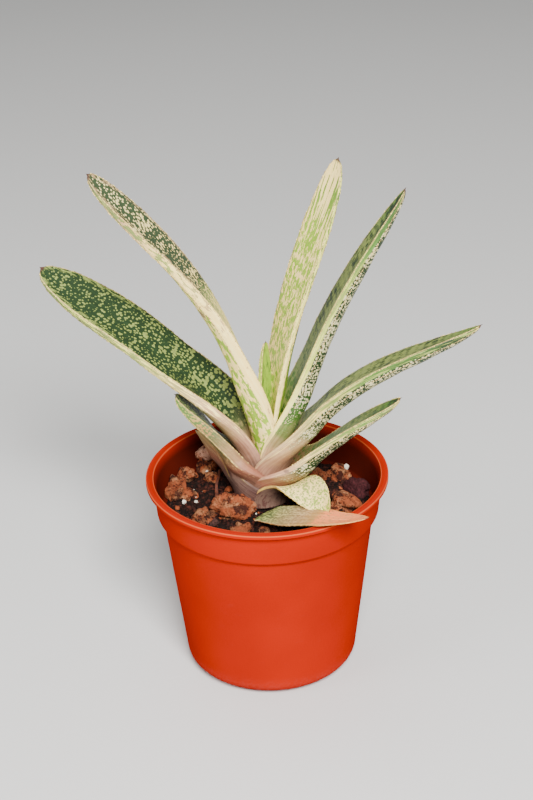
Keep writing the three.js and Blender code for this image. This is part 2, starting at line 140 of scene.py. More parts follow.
def painted(ground, marks, cover, grain, kind="spots", **more):
    """One part of a leaf's finish: its ground and its marks, both from root to tip.

    Cover is the share that the marks take, and grain their size across and along the leaf. Spots stay
    apart, dashes lie in rows and streaks join up lengthwise; stripes gives two shares of the length
    between which streaks turn to long stripes. A rim is the colour and width of the pale dashes along
    the face's margins, and the share of the length where they start.
    """
    return {
        "ground": run(ground), "marks": run(marks), "cover": run(cover), "grain": grain, "kind": kind, **more,
    }


# Each leaf's finish is given for its upper face, its blunt front margin (facet) and its keeled
# underside (belly). A strip is the width of the margin's own finish on the right-hand leaves, below
# which the underside's begins. A blotch is a brown mark: its part, its place across and along the
# leaf and its radius. Veins is how strongly the fine lengthwise veins show.
DARK_BELLY = painted(
    "brown, 0.1 blush, 0.2 beige, 0.28 olive, 0.36 dark", "beige, 0.25 speck",
    "0, 0.16 0, 0.3 0.78, 0.7 0.72, 1 0.5", (0.72, 0.9),
)
PALE_FACET = painted(
    "brown, 0.1 blush, 0.28 beige, 0.5 moss, 0.8 olive, 1 mid", "beige, 0.3 cream, 0.8 pale_lime, 1 mid",
    "0.3, 0.3 0.45", (0.4, 7), "streaks",
)
LOOKS = {
    "leaf_centre": {
        "face": painted("beige, 0.2 lime", "mid", "0.2, 1 0.42", (0.9, 5), "streaks"),
        "facet": painted("cream, 0.4 pale_lime, 1 lime", "lime, 1 mid", "0.3, 1 0.4", (0.8, 4), "streaks"),
        "belly": painted("beige, 0.3 lime", "mid", "0.25, 1 0.4", (0.8, 4), "streaks"),
    },
    "leaf_right_1": {
        "face": painted(
            "blush, 0.12 cream", "lime, 0.75 lime, 1 mid", "0.1, 0.15 0.44, 0.5 0.52, 0.85 0.5, 1 0.34",
            (1.1, 2.6), "streaks", stripes=(0.58, 0.85),
        ),
        "facet": painted(
            "blush, 0.15 cream, 1 pale_lime", "lime, 1 mid", "0.1, 0.4 0.35, 1 0.5", (0.7, 5), "streaks",
        ),
        "belly": painted("blush, 0.2 lime, 1 mid", "mid, 1 dark", "0.2, 0.5 0.5, 1 0.6", (0.7, 6), "streaks"),
    },
    "leaf_left_1": {
        "face": painted(
            "blush, 0.08 cream, 0.46 cream, 0.54 moss, 0.6 slate",
            "beige, 0.1 lime, 0.44 lime, 0.52 cream, 1 spot",
            "0.1, 0.3 0.5, 0.5 0.5, 0.6 0.52, 0.8 0.48, 1 0.4", (1.35, 1.45), rim=("beige", 2.2, 0.55),
        ),
        "facet": painted(
            "blush, 0.06 cream, 0.7 cream, 0.88 beige, 0.95 moss, 1 slate",
            "beige, 0.5 beige, 0.7 moss, 1 olive", "0.2, 0.4 0.2, 0.7 0.46, 1 0.55", (0.8, 3.5), "streaks",
        ),
        "belly": painted(
            "blush, 0.06 lime, 0.6 lime, 0.8 mid, 1 dark", "beige, 0.1 cream, 0.6 cream, 1 spot",
            "0.3, 0.12 0.5, 0.3 0.47, 0.5 0.55, 1 0.5", (1.1, 3.2), "streaks",
        ),
        "blotches": [("belly", 3.0, 66, 2.2)],
    },
    "leaf_right_2": {
        "strip": 2.3,
        "face": painted(
            "blush, 0.1 pale_lime, 0.25 khaki, 0.8 khaki, 1 mid", "mid, 0.25 mid, 0.5 dark",
            "0.2, 0.2 0.6, 1 0.75", (1.15, 2.8), "dashes", rim=("moss", 1.8, 0.2),
        ),
        "facet": painted(
            "blush, 0.1 cream, 0.4 pale_lime, 0.62 moss, 0.8 mid, 1 dark",
            "beige, 0.3 cream, 0.6 pale_lime, 1 mid", "0.3, 0.6 0.45, 1 0.4", (0.35, 9), "streaks",
        ),
        "belly": {**DARK_BELLY, "ground": run("blush, 0.1 beige, 0.2 mid, 0.3 dark")},
    },
    "leaf_left_2": {
        "face": painted(
            "blush, 0.08 beige, 0.14 olive, 0.2 dark", "beige, 0.2 khaki",
            "0, 0.08 0, 0.2 0.74, 0.4 0.6, 0.7 0.45, 1 0.36", (1.3, 1.35), rim=("moss", 2.6, 0.62),
        ),
        "facet": PALE_FACET,
        "belly": DARK_BELLY,
    },
    "leaf_right_3": {
        "strip": 2.7,
        "face": painted(
            "blush, 0.12 beige, 0.25 khaki, 0.85 khaki, 1 mid", "mid, 0.3 dark", "0.1, 0.2 0.56, 1 0.6",
            (1.2, 3.0), "dashes", rim=("moss", 2.0, 0.2),
        ),
        "facet": painted(
            "blush, 0.2 beige, 0.4 moss, 0.6 mid, 0.9 dark", "beige, 0.3 cream, 0.6 moss",
            "0.3, 0.5 0.5, 1 0.42", (0.35, 9), "streaks",
        ),
        "belly": DARK_BELLY,
    },
    "leaf_left_3": {
        "face": painted(
            "brown, 0.12 mauve, 0.3 olive, 0.4 dark", "beige, 0.4 moss", "0, 0.2 0, 0.5 0.6, 1 0.5",
            (0.9, 1.1),
        ),
        "facet": painted(
            "brown, 0.22 mauve, 0.42 drab, 0.6 olive, 1 mid", "blush, 0.5 drab, 0.7 tan, 1 moss",
            "0, 0.4 0.1, 0.6 0.62, 1 0.6", (0.75, 1.3),
        ),
        "belly": painted(
            "brown, 0.25 mauve, 0.45 olive, 1 mid", "beige, 0.5 tan, 1 moss", "0, 0.3 0.2, 0.5 0.7",
            (0.8, 1.4),
        ),
    },
    "leaf_right_4": {
        "strip": 2.4,
        "face": painted(
            "mauve, 0.2 drab, 0.4 khaki, 0.8 khaki, 0.93 mid, 1 tan", "mid, 0.3 mid, 1 dark",
            "0.1, 0.3 0.7, 1 0.75", (1.0, 2.4), "dashes", rim=("moss", 1.5, 0.3),
        ),
        "facet": painted(
            "mauve, 0.16 blush, 0.3 beige, 0.5 moss, 0.8 mid, 0.95 olive, 1 tan", "beige, 0.4 cream, 1 moss",
            "0.3, 0.6 0.5, 1 0.4", (0.35, 7), "streaks",
        ),
        "belly": {
            **DARK_BELLY,
            "ground": run("brown, 0.1 mauve, 0.2 drab, 0.3 dark, 0.95 dark, 1 tan"),
            "cover": run("0, 0.14 0, 0.24 0.4, 0.34 0.56, 0.7 0.56, 1 0.5"),
        },
        "blotches": [("facet", 1.4, 13, 0.9)],
    },
    "leaf_left_4": {
        "face": painted(
            "brown, 0.3 tan, 0.8 tan, 1 brown", "brown, 1 plum", "0.4, 1 0.35", (0.8, 6), "streaks",
        ),
        "facet": painted(
            "plum, 0.3 brown, 0.6 tan", "plum, 0.5 plum, 1 beige", "0.3, 1 0.4", (0.6, 8), "streaks",
        ),
        "belly": painted(
            "plum, 0.3 brown, 0.6 mauve, 0.8 drab", "plum, 0.4 plum, 0.7 beige, 1 olive", "0.4", (0.6, 7),
            "streaks",
        ),
    },
    "leaf_drooping": {
        "face": painted(
            "tan, 0.15 cream, 0.9 cream, 1 straw", "olive, 0.3 moss, 0.6 moss, 1 lime",
            "0.5, 0.5 0.46, 1 0.44", (0.55, 0.9), "streaks",
        ),
        "facet": painted("tan, 1 straw", "straw, 1 tan", "0.4", (0.7, 3), "streaks"),
        # Painted shade: the underside gets the dark brown that it shows in the shade under the arch.
        "belly": painted(
            "brown, 0.5 brown, 0.8 mauve, 1 tan", "plum, 0.6 brown, 1 tan", "0.4", (0.7, 2.5), "streaks",
        ),
        "veins": 0.1,
    },
    "leaf_withered": {
        "face": painted(
            "dark, 0.1 olive, 0.35 drab, 0.5 tan, 0.58 salmon",
            "moss, 0.4 beige, 0.55 tan, 0.8 beige, 1 brown", "0.5, 0.45 0.5, 0.6 0.34, 1 0.3", (0.5, 1.1),
            "streaks",
        ),
        "facet": painted("tan, 0.5 tan, 1 salmon", "beige, 1 tan", "0.4", (0.7, 3), "streaks"),
        "belly": painted("olive, 0.5 tan, 1 salmon", "brown, 1 tan", "0.4", (0.8, 3), "streaks"),
        "blotches": [("face", 1.5, 43, 0.9)],
    },
}
LEAF_SLOTS = {
    "leaf_centre": "leaf_young", "leaf_right_1": "leaf_young", "leaf_drooping": "leaf_young",
    "leaf_withered": "leaf_dry", "leaf_left_4": "leaf_dry",
}
DRY_LEAVES = ("leaf_withered", "leaf_left_4")

# The pot's radii, its levels below the lip's top (drop) or above the underside, and its walls.
POT = {
    "lip_inner": 37.5, "lip_drop": 1.3, "collar_top": 37.9, "collar_bottom": 36.8, "collar_drop": 12.4,
    "wall_top": 35.0, "shoulder_drop": 13.9, "wall_bottom": 29.0, "edge": 5.0, "foot": 22.0,
    "wall": 1.3, "floor": 1.6, "corner": 0.55, "lip_corner": 0.14,
}
POT_SIDES = 160
DRAIN = {"count": 4, "radius": 3.0, "ring": 15.0, "drill": 8.0, "sides": 32}
SOIL = {
    "dip": 1.6, "relief": 0.9, "reach": 40.0, "foot": 18.0, "bottom": 2.0, "wall_levels": (7.0, 50.0),
    "wall_gap": 0.6, "surface_gap": 0.12, "rings": 85, "sides": 220,
}

# Each chunk's place on the soil, half its size, its turn in plan, the seed of its shape, the share of
# it that is sunk in the soil, and its tone from dark (0) to pale and dusty (1). The gap is how far
# they stay from the pot's wall.
STONES = {
    "stone_left": ((-30, 9.5), (4.4, 6.2, 4.4), 12, 3, 0.35, 0.68),
    "stone_left_back": ((-20, 26), (3.6, 3.2, 3.4), 40, 5, 0.3, 1.05),
    "stone_left_small": ((-18.8, 17.5), (2.7, 2.1, 2), -15, 7, 0.35, 0.7),
    "stone_left_round": ((-21, -9.5), (3.4, 3.1, 3.1), 20, 9, 0.35, 0.5),
    "stone_front_large": ((-11, -6), (6.6, 4.8, 4.8), -10, 11, 0.3, 0.72),
    "stone_front": ((-9.4, -17.4), (3.5, 3, 3), 35, 13, 0.35, 0.55),
    "stone_front_small": ((-1.6, -18.6), (2.3, 2, 2), 0, 15, 0.4, 0.4),
    "stone_right_back": ((24.5, 17.5), (4.1, 3.6, 3.6), -30, 17, 0.3, 0.85),
    "stone_right_inner": ((17.2, 15.6), (2.8, 2.6, 2.6), 15, 19, 0.35, 0.4),
    "stone_right": ((24.8, -3.6), (4.4, 4, 3.8), -20, 21, 0.3, 0.8),
    "bark_right": ((30.2, 7), (3.8, 5.2, 3.8), 12, 23, 0.3, 0.1),
    "stone_back": ((3, 29), (4.4, 3.6, 3.4), 65, 25, 0.35, 0.55),
    "stone_back_left": ((-9, 24), (3, 3.4, 2.8), 10, 27, 0.35, 0.6),
    "stone_back_right": ((12, 25.5), (2.8, 2.4, 2.4), 50, 29, 0.35, 0.5),
    "loose_top": ((-27.2, 17.2), (2.9, 2.4, 2.6), 0, 37, 0, 0.7),
    "loose_pale": ((-19.6, 26.6), (3.7, 3.1, 3.3), 0, 41, -0.2, 1),
}
STONE_WAVES = 5
STONE_CUTS = 5
STONE_GAP = 0.4


# ---- What a user would change --------------------------------------------

def linear(red, green, blue):
    """A colour as printed, 0 to 255, as the light it returns."""
    return tuple(
        c / 12.92 if c <= 0.04045 else ((c + 0.055) / 1.055) ** 2.4
        for c in (red / 255, green / 255, blue / 255)
    )


def length_property(name, description, default):
    return bpy.props.FloatProperty(
        name=name, description=description, default=default * MM, unit="LENGTH", precision=4,
    )


def colour_property(name, description, printed):
    return bpy.props.FloatVectorProperty(
        name=name, description=description, default=linear(*printed), subtype="COLOR", min=0.0, max=1.0,
    )


class GasteriaSizes(bpy.types.PropertyGroup):
    rim_radius: length_property("Rim radius", "Outer radius of the pot's lip", 40.0)
    pot_height: length_property("Pot height", "From the underside to the top of the lip", 70.0)
    soil_level: length_property("Soil level", "Height of the soil at the stem", 58.5)
    bead: length_property("Margin bead", "Size of the pale beads along the leaf margins", 0.25)
    bead_spacing: length_property("Bead spacing", "Distance between neighbouring margin beads", 0.5)
    crumb: length_property("Soil crumb", "Size of the largest soil crumbs", 1.1)


class GasteriaColours(bpy.types.PropertyGroup):
    dark: colour_property("Dark green", "Ground of the grown leaves", (34, 52, 28))
    slate: colour_property("Slate green", "Greyer ground of the upper left leaf", (56, 70, 46))
    mid: colour_property("Mid green", "Streaks on the young leaves", (78, 116, 44))
    olive: colour_property("Olive", "Change from the pale bases to the dark blades", (92, 100, 58))
    moss: colour_property("Moss", "Dim green dots and bands of the grown leaves", (142, 154, 76))
    khaki: colour_property("Khaki", "Ground of the right-hand leaves' upper faces", (124, 136, 68))
    lime: colour_property("Lime", "Ground of the youngest leaf", (138, 172, 44))
    pale_lime: colour_property("Pale lime", "Pale bands that are faintly green", (196, 206, 92))
    cream: colour_property("Cream", "Pale bands and ground of the cream leaf", (250, 220, 134))
    spot: colour_property("Spots", "Cream spots on the inner leaves", (218, 206, 142))
    speck: colour_property("Specks", "Specks on the right-hand leaves' undersides", (188, 180, 134))
    beige: colour_property("Beige", "Lower part of the leaves", (188, 152, 108))
    mauve: colour_property("Mauve", "Reddish brown roots of the outer leaves", (140, 88, 66))
    drab: colour_property("Drab", "Dull tan between the roots and the blades", (145, 116, 76))
    blush: colour_property("Blush", "Pinkish leaf bases", (168, 122, 96))
    brown: colour_property("Brown", "Lowest part of the sheaths", (100, 76, 64))
    tan: colour_property("Tan", "Dried sheath and leaf parts", (172, 128, 72))
    straw: colour_property("Straw", "Dried yellow margin", (204, 174, 76))
    salmon: colour_property("Salmon", "Pink end of the withered leaf", (246, 138, 82))
    plum: colour_property("Plum", "Dark lines in the dried sheath", (77, 49, 43))
    pot: colour_property("Pot", "Moulded plastic", (157, 28, 6))
    stem: colour_property("Stem", "Short stem between the leaf bases", (107, 79, 67))
    soil: colour_property("Soil", "Damp potting mix", (24, 16, 13))
    crumb: colour_property("Crumbs", "Drier crumbs on the soil", (60, 28, 20))
    lava: colour_property("Lava", "Orange-brown lava chunks", (150, 76, 44))
    # Dark lava also gives the chunks' pits their painted shade.
    lava_dark: colour_property("Dark lava", "Pits and weathered sides of the chunks", (62, 28, 19))
    dust: colour_property("Dust", "Pale dust on the chunks", (200, 138, 94))
    rose: colour_property("Rose", "Pale pink face of one chunk", (250, 190, 158))
    bark: colour_property("Bark", "Dark plum bark chunk", (68, 28, 30))
    perlite: colour_property("Perlite", "White grains in the soil", (236, 226, 206))
    floor: colour_property("Floor", "Pale floor", (206, 205, 202))


# ---- Node trees as expressions -------------------------------------------

class Wire:
    """An output socket; arithmetic on it adds Math nodes to its tree."""

    def __init__(self, sheet, socket):
        self.sheet = sheet
        self.socket = socket

    def _math(self, operation, *values):
        return self.sheet.add("ShaderNodeMath", {"operation": operation}, dict(enumerate(values)))[0]

    def __add__(self, other):
        return self._math("ADD", self, other)

    def __radd__(self, other):
        return self._math("ADD", other, self)

    def __sub__(self, other):
        return self._math("SUBTRACT", self, other)

    def __rsub__(self, other):
        return self._math("SUBTRACT", other, self)

    def __mul__(self, other):
        return self._math("MULTIPLY", self, other)

    def __rmul__(self, other):
        return self._math("MULTIPLY", other, self)

    def __truediv__(self, other):
        return self._math("DIVIDE", self, other)

    def __rtruediv__(self, other):
        return self._math("DIVIDE", other, self)

    def __pow__(self, other):
        return self._math("POWER", self, other)

    def over(self, limit):
        return self._math("GREATER_THAN", self, limit)

    def under(self, limit):
        return self._math("LESS_THAN", self, limit)

    def ease(self, start, end):
        """0 before start, 1 after end, and a smooth step between them."""
        return self.sheet.add(
            "ShaderNodeMapRange", {"interpolation_type": "SMOOTHSTEP"},
            {"Value": self, "From Min": start, "From Max": end},
        )[0]


class Added:
    """A node that was added; its outputs are read as wires by name or place."""

    def __init__(self, sheet, node):
        self.sheet = sheet
        self.node = node

    def __getitem__(self, key):
        return Wire(self.sheet, self.node.outputs[key])


class Sheet:
    """A node tree to which nodes are added with their settings and inputs."""

    def __init__(self, tree):
        self.tree = tree

    def add(self, kind, settings=None, inputs=None):
        node = self.tree.nodes.new(kind)
        for key, value in (settings or {}).items():
            if key == "stops":
                self._set_stops(node.color_ramp, value)
            else:
                setattr(node, key, value)
        for key, value in (inputs or {}).items():
            if isinstance(value, Wire):
                self.tree.links.new(value.socket, node.inputs[key])
            else:
                node.inputs[key].default_value = value
        return Added(self, node)

    @staticmethod
    def _set_stops(ramp, stops):
        while len(ramp.elements) > len(stops):
            ramp.elements.remove(ramp.elements[-1])
        while len(ramp.elements) < len(stops):
            ramp.elements.new(1.0)
        for element, (place, colour) in zip(ramp.elements, stops):
            element.position = place
            element.color = colour

    def vector(self, x, y, z):
        return self.add("ShaderNodeCombineXYZ", inputs={0: x, 1: y, 2: z})[0]

    def split(self, vector):
        parts = self.add("ShaderNodeSeparateXYZ", inputs={0: vector})
        return parts[0], parts[1], parts[2]

    def scaled(self, vector, factor):
        return self.add("ShaderNodeVectorMath", {"operation": "SCALE"}, {0: vector, "Scale": factor})[0]

    def shifted(self, vector, by):
        return self.add("ShaderNodeVectorMath", {"operation": "ADD"}, {0: vector, 1: by})[0]

    def noise(self, vector, scale, detail=2.0, roughness=0.5):
        return self.add(
            "ShaderNodeTexNoise", {"noise_dimensions": "3D"},
            {"Vector": vector, "Scale": scale, "Detail": detail, "Roughness": roughness},
        )[0]

    def cells(self, vector, scale):
        node = self.add("ShaderNodeTexVoronoi", {"feature": "F1"}, {"Vector": vector, "Scale": scale})
        return node["Distance"]

    def ramp(self, value, stops):
        return self.add("ShaderNodeValToRGB", {"stops": stops}, {"Fac": value})["Color"]

    def mix(self, factor, first, second, kind="MIX"):
        """A colour mix; 6 and 7 are the node's colour inputs and 2 its colour output."""
        settings = {"data_type": "RGBA", "blend_type": kind, "clamp_factor": True}
        return self.add("ShaderNodeMix", settings, {0: factor, 6: first, 7: second})[2]

    def bump(self, height, distance, strength=1.0):
        return self.add(
            "ShaderNodeBump", inputs={"Height": height, "Distance": distance, "Strength": strength},
        )[0]


def new_finish(name):
    """A material with its sheet and the Object coordinates in millimetres."""
    material = bpy.data.materials.new(name)
    material.use_nodes = True
    material.node_tree.nodes.clear()
    sheet = Sheet(material.node_tree)
    place = sheet.scaled(sheet.add("ShaderNodeTexCoord")["Object"], 1 / MM)
    return material, sheet, place


def close_finish(sheet, colour, roughness, normal=None, gloss=0.5):
    """Ends a material in one Principled shader; gloss is its constant specular level."""
    inputs = {"Base Color": colour, "Roughness": roughness, "Specular IOR Level": gloss}
    if normal is not None:
        inputs["Normal"] = normal
    shader = sheet.add("ShaderNodeBsdfPrincipled", inputs=inputs)
    sheet.add("ShaderNodeOutputMaterial", inputs={"Surface": shader[0]})


def tinted(colour, strength):
    """The colour, darker by a strength below 1."""
    return [c * strength for c in colour]


def opaque(colour, strength=1.0):
    """The colour for a socket, with full alpha."""
    return (*tinted(colour, strength)[:3], 1.0)


def grey(value):
    return (value, value, value, 1.0)


# ---- Meshes --------------------------------------------------------------

def smooth(start, end, x):
    """0 before start, 1 after end, and a smooth step between them."""
    t = np.clip((x - start) / (end - start), 0.0, 1.0)
    return t * t * (3 - 2 * t)


def linked(name, data):
    """A new object in the scene, at the origin."""
    made = bpy.data.objects.new(name, data)
    bpy.context.scene.collection.objects.link(made)
    return made


def add_mesh(name, points, faces, material, shade_smooth=True):
    """An object with its points given in millimetres."""
    mesh = bpy.data.meshes.new(name)
    mesh.from_pydata((np.asarray(points) * MM).tolist(), [], faces)
    mesh.materials.append(material)
    mesh.polygons.foreach_set("use_smooth", [shade_smooth] * len(mesh.polygons))
    mesh.update()
    return linked(name, mesh)


def cast(name, shape, *materials, shade_smooth=False):
    """The worked shape as an object; the shape itself is freed."""
    mesh = bpy.data.meshes.new(name)
    shape.to_mesh(mesh)
    shape.free()
    for material in materials:
        mesh.materials.append(material)
    mesh.polygons.foreach_set("use_smooth", [shade_smooth] * len(mesh.polygons))
    return linked(name, mesh)


def settle(piece, slot, *nodes):
    """The piece rides on the plant's one body and stands for its CAD nodes."""
    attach(piece, "root")
    if nodes:
        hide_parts(*nodes)


def circle(radius, sides):
    """Points round the upright axis in plan."""
    angles = np.arange(sides) * 2 * math.pi / sides
    return [(radius * math.cos(a), radius * math.sin(a)) for a in angles]


def ring_faces(rings):
    """Faces between neighbouring rings of points; a ring that is one point gives triangles."""
    faces = []
    for low, high in zip(rings, rings[1:]):
        for j in range(len(low)):
            k = (j + 1) % len(low)
            faces.append(list(dict.fromkeys([low[j], low[k], high[k], high[j]])))
    return faces


def turned(profile, sides):
    """Points and faces of a profile of (radius, height) turned about the upright axis."""
    points = []
    rings = []
    for radius, height in profile:
        if radius == 0:
            rings.append([len(points)] * sides)
            points.append((0.0, 0.0, height))
        else:
            rings.append(range(len(points), len(points) + sides))
            points.extend((x, y, height) for x, y in circle(radius, sides))
    return points, ring_faces(rings)


def rounded(profile, radius, steps=5):
    """The profile with every corner between its ends cut to a smooth curve of about that radius."""
    corners = [Vector((r, z)) for r, z in profile]
    out = [tuple(corners[0])]
    for before, corner, after in zip(corners, corners[1:], corners[2:]):
        reach = min(radius, (before - corner).length * 0.45, (after - corner).length * 0.45)
        start = corner + (before - corner).normalized() * reach
        end = corner + (after - corner).normalized() * reach
        for i in range(steps + 1):
            t = i / steps
            out.append(tuple(start.lerp(corner, t).lerp(corner.lerp(end, t), t)))
    out.append(tuple(corners[-1]))
    return out


def converted(piece, name):
    """The evaluated piece as a new plain object; the first one is removed."""
    graph = bpy.context.evaluated_depsgraph_get()
    made = linked(name, bpy.data.meshes.new_from_object(piece.evaluated_get(graph)))
    bpy.data.objects.remove(piece)
    return made


# ---- The pot -------------------------------------------------------------

def pot_levels(sizes):
    """The rim's radius, and the heights of the lip, the collar's foot and the shoulder's foot."""
    rim = sizes.rim_radius / MM
    lip = sizes.pot_height / MM
    return rim, lip, lip - POT["collar_drop"], lip - POT["shoulder_drop"]


def inner_radius(sizes, z):
    """Radius of the pot's inside wall at a height."""
    _, lip, collar, shoulder = pot_levels(sizes)
    levels = [0, POT["edge"] + 1, shoulder, collar, lip - POT["lip_drop"]]
    radii = [POT["foot"], POT["wall_bottom"], POT["wall_top"], POT["collar_bottom"], POT["collar_top"]]
    return float(np.interp(z, levels, radii)) - POT["wall"]


def pot_profile(sizes):
    """The wall's section as (radius, height), from the underside's middle over the lip to the floor.

    Its three rounded parts meet on straight stretches, a little away from their corners.
    """
    rim, lip, collar, shoulder = pot_levels(sizes)
    wall = POT["wall"]
    edge = [
        (
            POT["foot"] + (POT["wall_bottom"] - POT["foot"]) * math.sin(t * math.pi / 2),
            POT["edge"] * (1 - math.cos(t * math.pi / 2)),
        )
        for t in np.linspace(0, 1, 13)
    ]
    underside = lip - POT["lip_drop"]
    outside = rounded([
        (POT["wall_bottom"] + 0.6, POT["edge"] + 5), (POT["wall_top"], shoulder),
        (POT["collar_bottom"], collar), (POT["collar_top"], underside - 0.6),
    ], POT["corner"])
    flange = rounded([
        (POT["collar_top"], underside - 0.4), (POT["collar_top"], underside), (rim, underside), (rim, lip),
        (POT["lip_inner"], lip), (POT["lip_inner"] - 0.2, lip - 0.9),
    ], POT["lip_corner"])
    inside = rounded([
        (POT["collar_top"] - wall, underside - 1.3), (POT["collar_bottom"] - wall, collar),
        (POT["wall_top"] - wall, shoulder), (POT["wall_bottom"] - wall, POT["edge"] + 1),
        (POT["foot"], POT["floor"] + 0.6), (POT["foot"] - 3, POT["floor"]),
    ], POT["corner"])
    return [(0.0, 0.0), *edge, *outside, *flange, *inside, (0.0, POT["floor"])]


def pot_finish(colours):
    material, sheet, place = new_finish("moulded pot plastic")
    broad = sheet.noise(place, 0.03, 2.0)
    fine = sheet.noise(place, 1.6, 3.0)
    x, y, z = sheet.split(place)
    scuffs = sheet.noise(sheet.vector(x * 0.35, y * 0.35, z * 2.2), 1.0, 4.0, 0.6).ease(0.62, 0.78)
    dust = (1.0 - z.ease(0.0, 9.0)) * fine.ease(0.35, 0.7)
    # Below 0 on the inside, where the wall is darkened with painted shade, in a soil-brown colour, up to the
    # lip.
    facing = sheet.add("ShaderNodeVectorMath", {"operation": "DOT_PRODUCT"}, {
        0: sheet.add("ShaderNodeNewGeometry")["Normal"], 1: sheet.vector(x, y, 0.0),
    })["Value"]
    inner_painted_shade = facing.under(-0.002) * (1.0 - z.ease(66.0, 71.0)) * (0.7 + broad * 0.5)
    inner_shade_colour = [0.42 * a + 0.09 * b for a, b in zip(colours.crumb, colours.pot)]
    base = opaque(colours.pot)
    deep = opaque(colours.pot, 0.86)
    pale = opaque([c * 0.8 + 0.2 for c in colours.pot])
    colour = sheet.mix(broad.ease(0.3, 0.7), deep, base)
    colour = sheet.mix(dust * 0.12 + scuffs * 0.05, colour, pale)
    # Painted highlight: the lip's outer and inner edges are painted a little paler.
    reach = (x ** 2.0 + y ** 2.0) ** 0.5
    lip_highlight = (reach.ease(39.6, 39.9) + 1.0 - reach.ease(37.6, 37.85)) * z.ease(69.5, 69.8)
    colour = sheet.mix(lip_highlight * 0.25, colour, opaque(colours.salmon))
    # Painted shade on the inside wall, darkest towards the soil.
    colour = sheet.mix(inner_painted_shade, colour, opaque(inner_shade_colour))
    roughness = 0.42 + fine * 0.08 + scuffs * 0.12 + dust * 0.2
    normal = sheet.bump(fine * 0.5 + broad * 2.0, 0.00006, 0.6)
    close_finish(sheet, colour, roughness, normal, gloss=0.0)
    return material


class GASTERIA_OT_pot(bpy.types.Operator):
    """Turns the nursery pot: tapered wall, shoulder, collar and flat lip, with drain holes"""

    bl_idname = "gasteria.pot"
    bl_label = "Nursery pot"

    def execute(self, context):
        sizes = context.scene.gasteria_sizes
        points, faces = turned(pot_profile(sizes), POT_SIDES)
        pot = add_mesh("pot_moulded", points, faces, pot_finish(context.scene.gasteria_colours))
        drill = bmesh.new()
        radius = DRAIN["radius"] * MM
        for i in range(DRAIN["count"]):
            angle = (i + 0.5) / DRAIN["count"] * 2 * math.pi
            centre = Vector((math.cos(angle), math.sin(angle), 0)) * DRAIN["ring"] * MM
            bmesh.ops.create_cone(
                drill, cap_ends=True, segments=DRAIN["sides"], radius1=radius, radius2=radius,
                depth=DRAIN["drill"] * MM, matrix=Matrix.Translation(centre),
            )
        cutter = cast("drain_cutter", drill)
        cut = pot.modifiers.new("drain_holes", "BOOLEAN")
        cut.operation = "DIFFERENCE"
        cut.object = cutter
        pot = converted(pot, "pot_body")
        bpy.data.objects.remove(cutter)
        settle(pot, "pot", "pot")
        return {"FINISHED"}


# ---- The soil ------------------------------------------------------------

def soil_reach(sizes):
    """Radius of the pot's inside just below the soil's surface."""
    return inner_radius(sizes, sizes.soil_level / MM - 2)


def soil_height(level, x, y):
    """Height of the soil's top, a shallow dip with low humps, in millimetres."""
    r = np.hypot(x, y)
    humps = np.sin(x * 0.42 + 1.3) * np.cos(y * 0.37 - 0.6) + 0.5 * np.sin(x * 0.9 - y * 0.7)
    dip = SOIL["dip"] * (r / POT["wall_top"]) ** 2
    return float(level - dip + SOIL["relief"] * humps * (1 - (r / SOIL["reach"]) ** 4))


def crumbly(x, y):
    """Fine relief of the loose soil, in millimetres."""
    place = Vector((x * 0.55, y * 0.55, 3.0))
    coarse = noise.fractal(place, 0.8, 2.2, 4)
    return 0.45 * coarse + 0.25 * (1 - noise.voronoi(place * 1.6)[0][0] * 2)


def soil_surface(level, x, y):
    """Height of the soil's top with its crumbly relief."""
    return soil_height(level, x, y) + crumbly(x, y)


def soil_finish(colours):
    material, sheet, place = new_finish("damp potting mix")
    clumps = sheet.noise(place, 0.5, 6.0, 0.65)
    fibres = sheet.noise(place, 2.4, 4.0)
    colour = sheet.mix(clumps.ease(0.42, 0.72), opaque(colours.soil), opaque(colours.crumb))
    colour = sheet.mix(fibres.ease(0.35, 0.6) * 0.8, opaque(colours.soil, 0.3), colour)
    normal = sheet.bump(clumps + fibres * 0.4, 0.0006)
    close_finish(sheet, colour, 0.82 + clumps * 0.15, normal, gloss=0.1)
    return material


class GASTERIA_OT_soil(bpy.types.Operator):
    """Fills the pot with loose, damp soil"""

    bl_idname = "gasteria.soil"
    bl_label = "Soil"

    def execute(self, context):
        sizes = context.scene.gasteria_sizes
        level = sizes.soil_level / MM
        lower = [(0, SOIL["bottom"]), (SOIL["foot"], SOIL["bottom"])]
        lower += [(inner_radius(sizes, z) - SOIL["wall_gap"], z) for z in SOIL["wall_levels"]]
        reach = soil_reach(sizes) - SOIL["surface_gap"]
        upper = [(radius, level) for radius in np.linspace(reach, 0.5, SOIL["rings"])]
        points, faces = turned([*lower, *upper, (0, soil_height(level, 0, 0))], SOIL["sides"])
        first = 1 + (len(lower) - 1) * SOIL["sides"]
        points[first:-1] = [(x, y, soil_surface(level, x, y)) for x, y, _ in points[first:-1]]
        soil = add_mesh("soil_mass", points, faces, soil_finish(context.scene.gasteria_colours))
        settle(soil, "soil", "soil")
        return {"FINISHED"}


# ---- Stones --------------------------------------------------------------

def seeded(seed):
    """Even random shares."""
    modulus = 2 ** 31 - 1
    state = seed * 7919 + 13
    while True:
        state = (state * 16807) % modulus
        yield state / modulus


def stone_waves(seed):
    """The chunk's broad lumps: each an axis, a frequency, a phase and a height."""
    draw = seeded(seed)
    waves = []
    for _ in range(STONE_WAVES):
        axis = Vector((next(draw) - 0.5, next(draw) - 0.5, next(draw) - 0.5)).normalized()
        waves.append((axis, 1.6 + 2.2 * next(draw), 6.28 * next(draw), 0.05 + 0.06 * next(draw)))
    return waves


def stone_relief(direction, seed, size):
    """Pits and crags of a lava chunk, as a share of its radius."""
    place = direction * size * 0.55 + Vector((seed * 3.1, seed * 1.7, 0))
    crag = noise.fractal(place, 0.65, 2.3, 6) * 0.15
    pit = noise.voronoi(place * 2.1)[0][0]
    return crag - 0.1 * max(0.0, 1 - pit / 0.32)


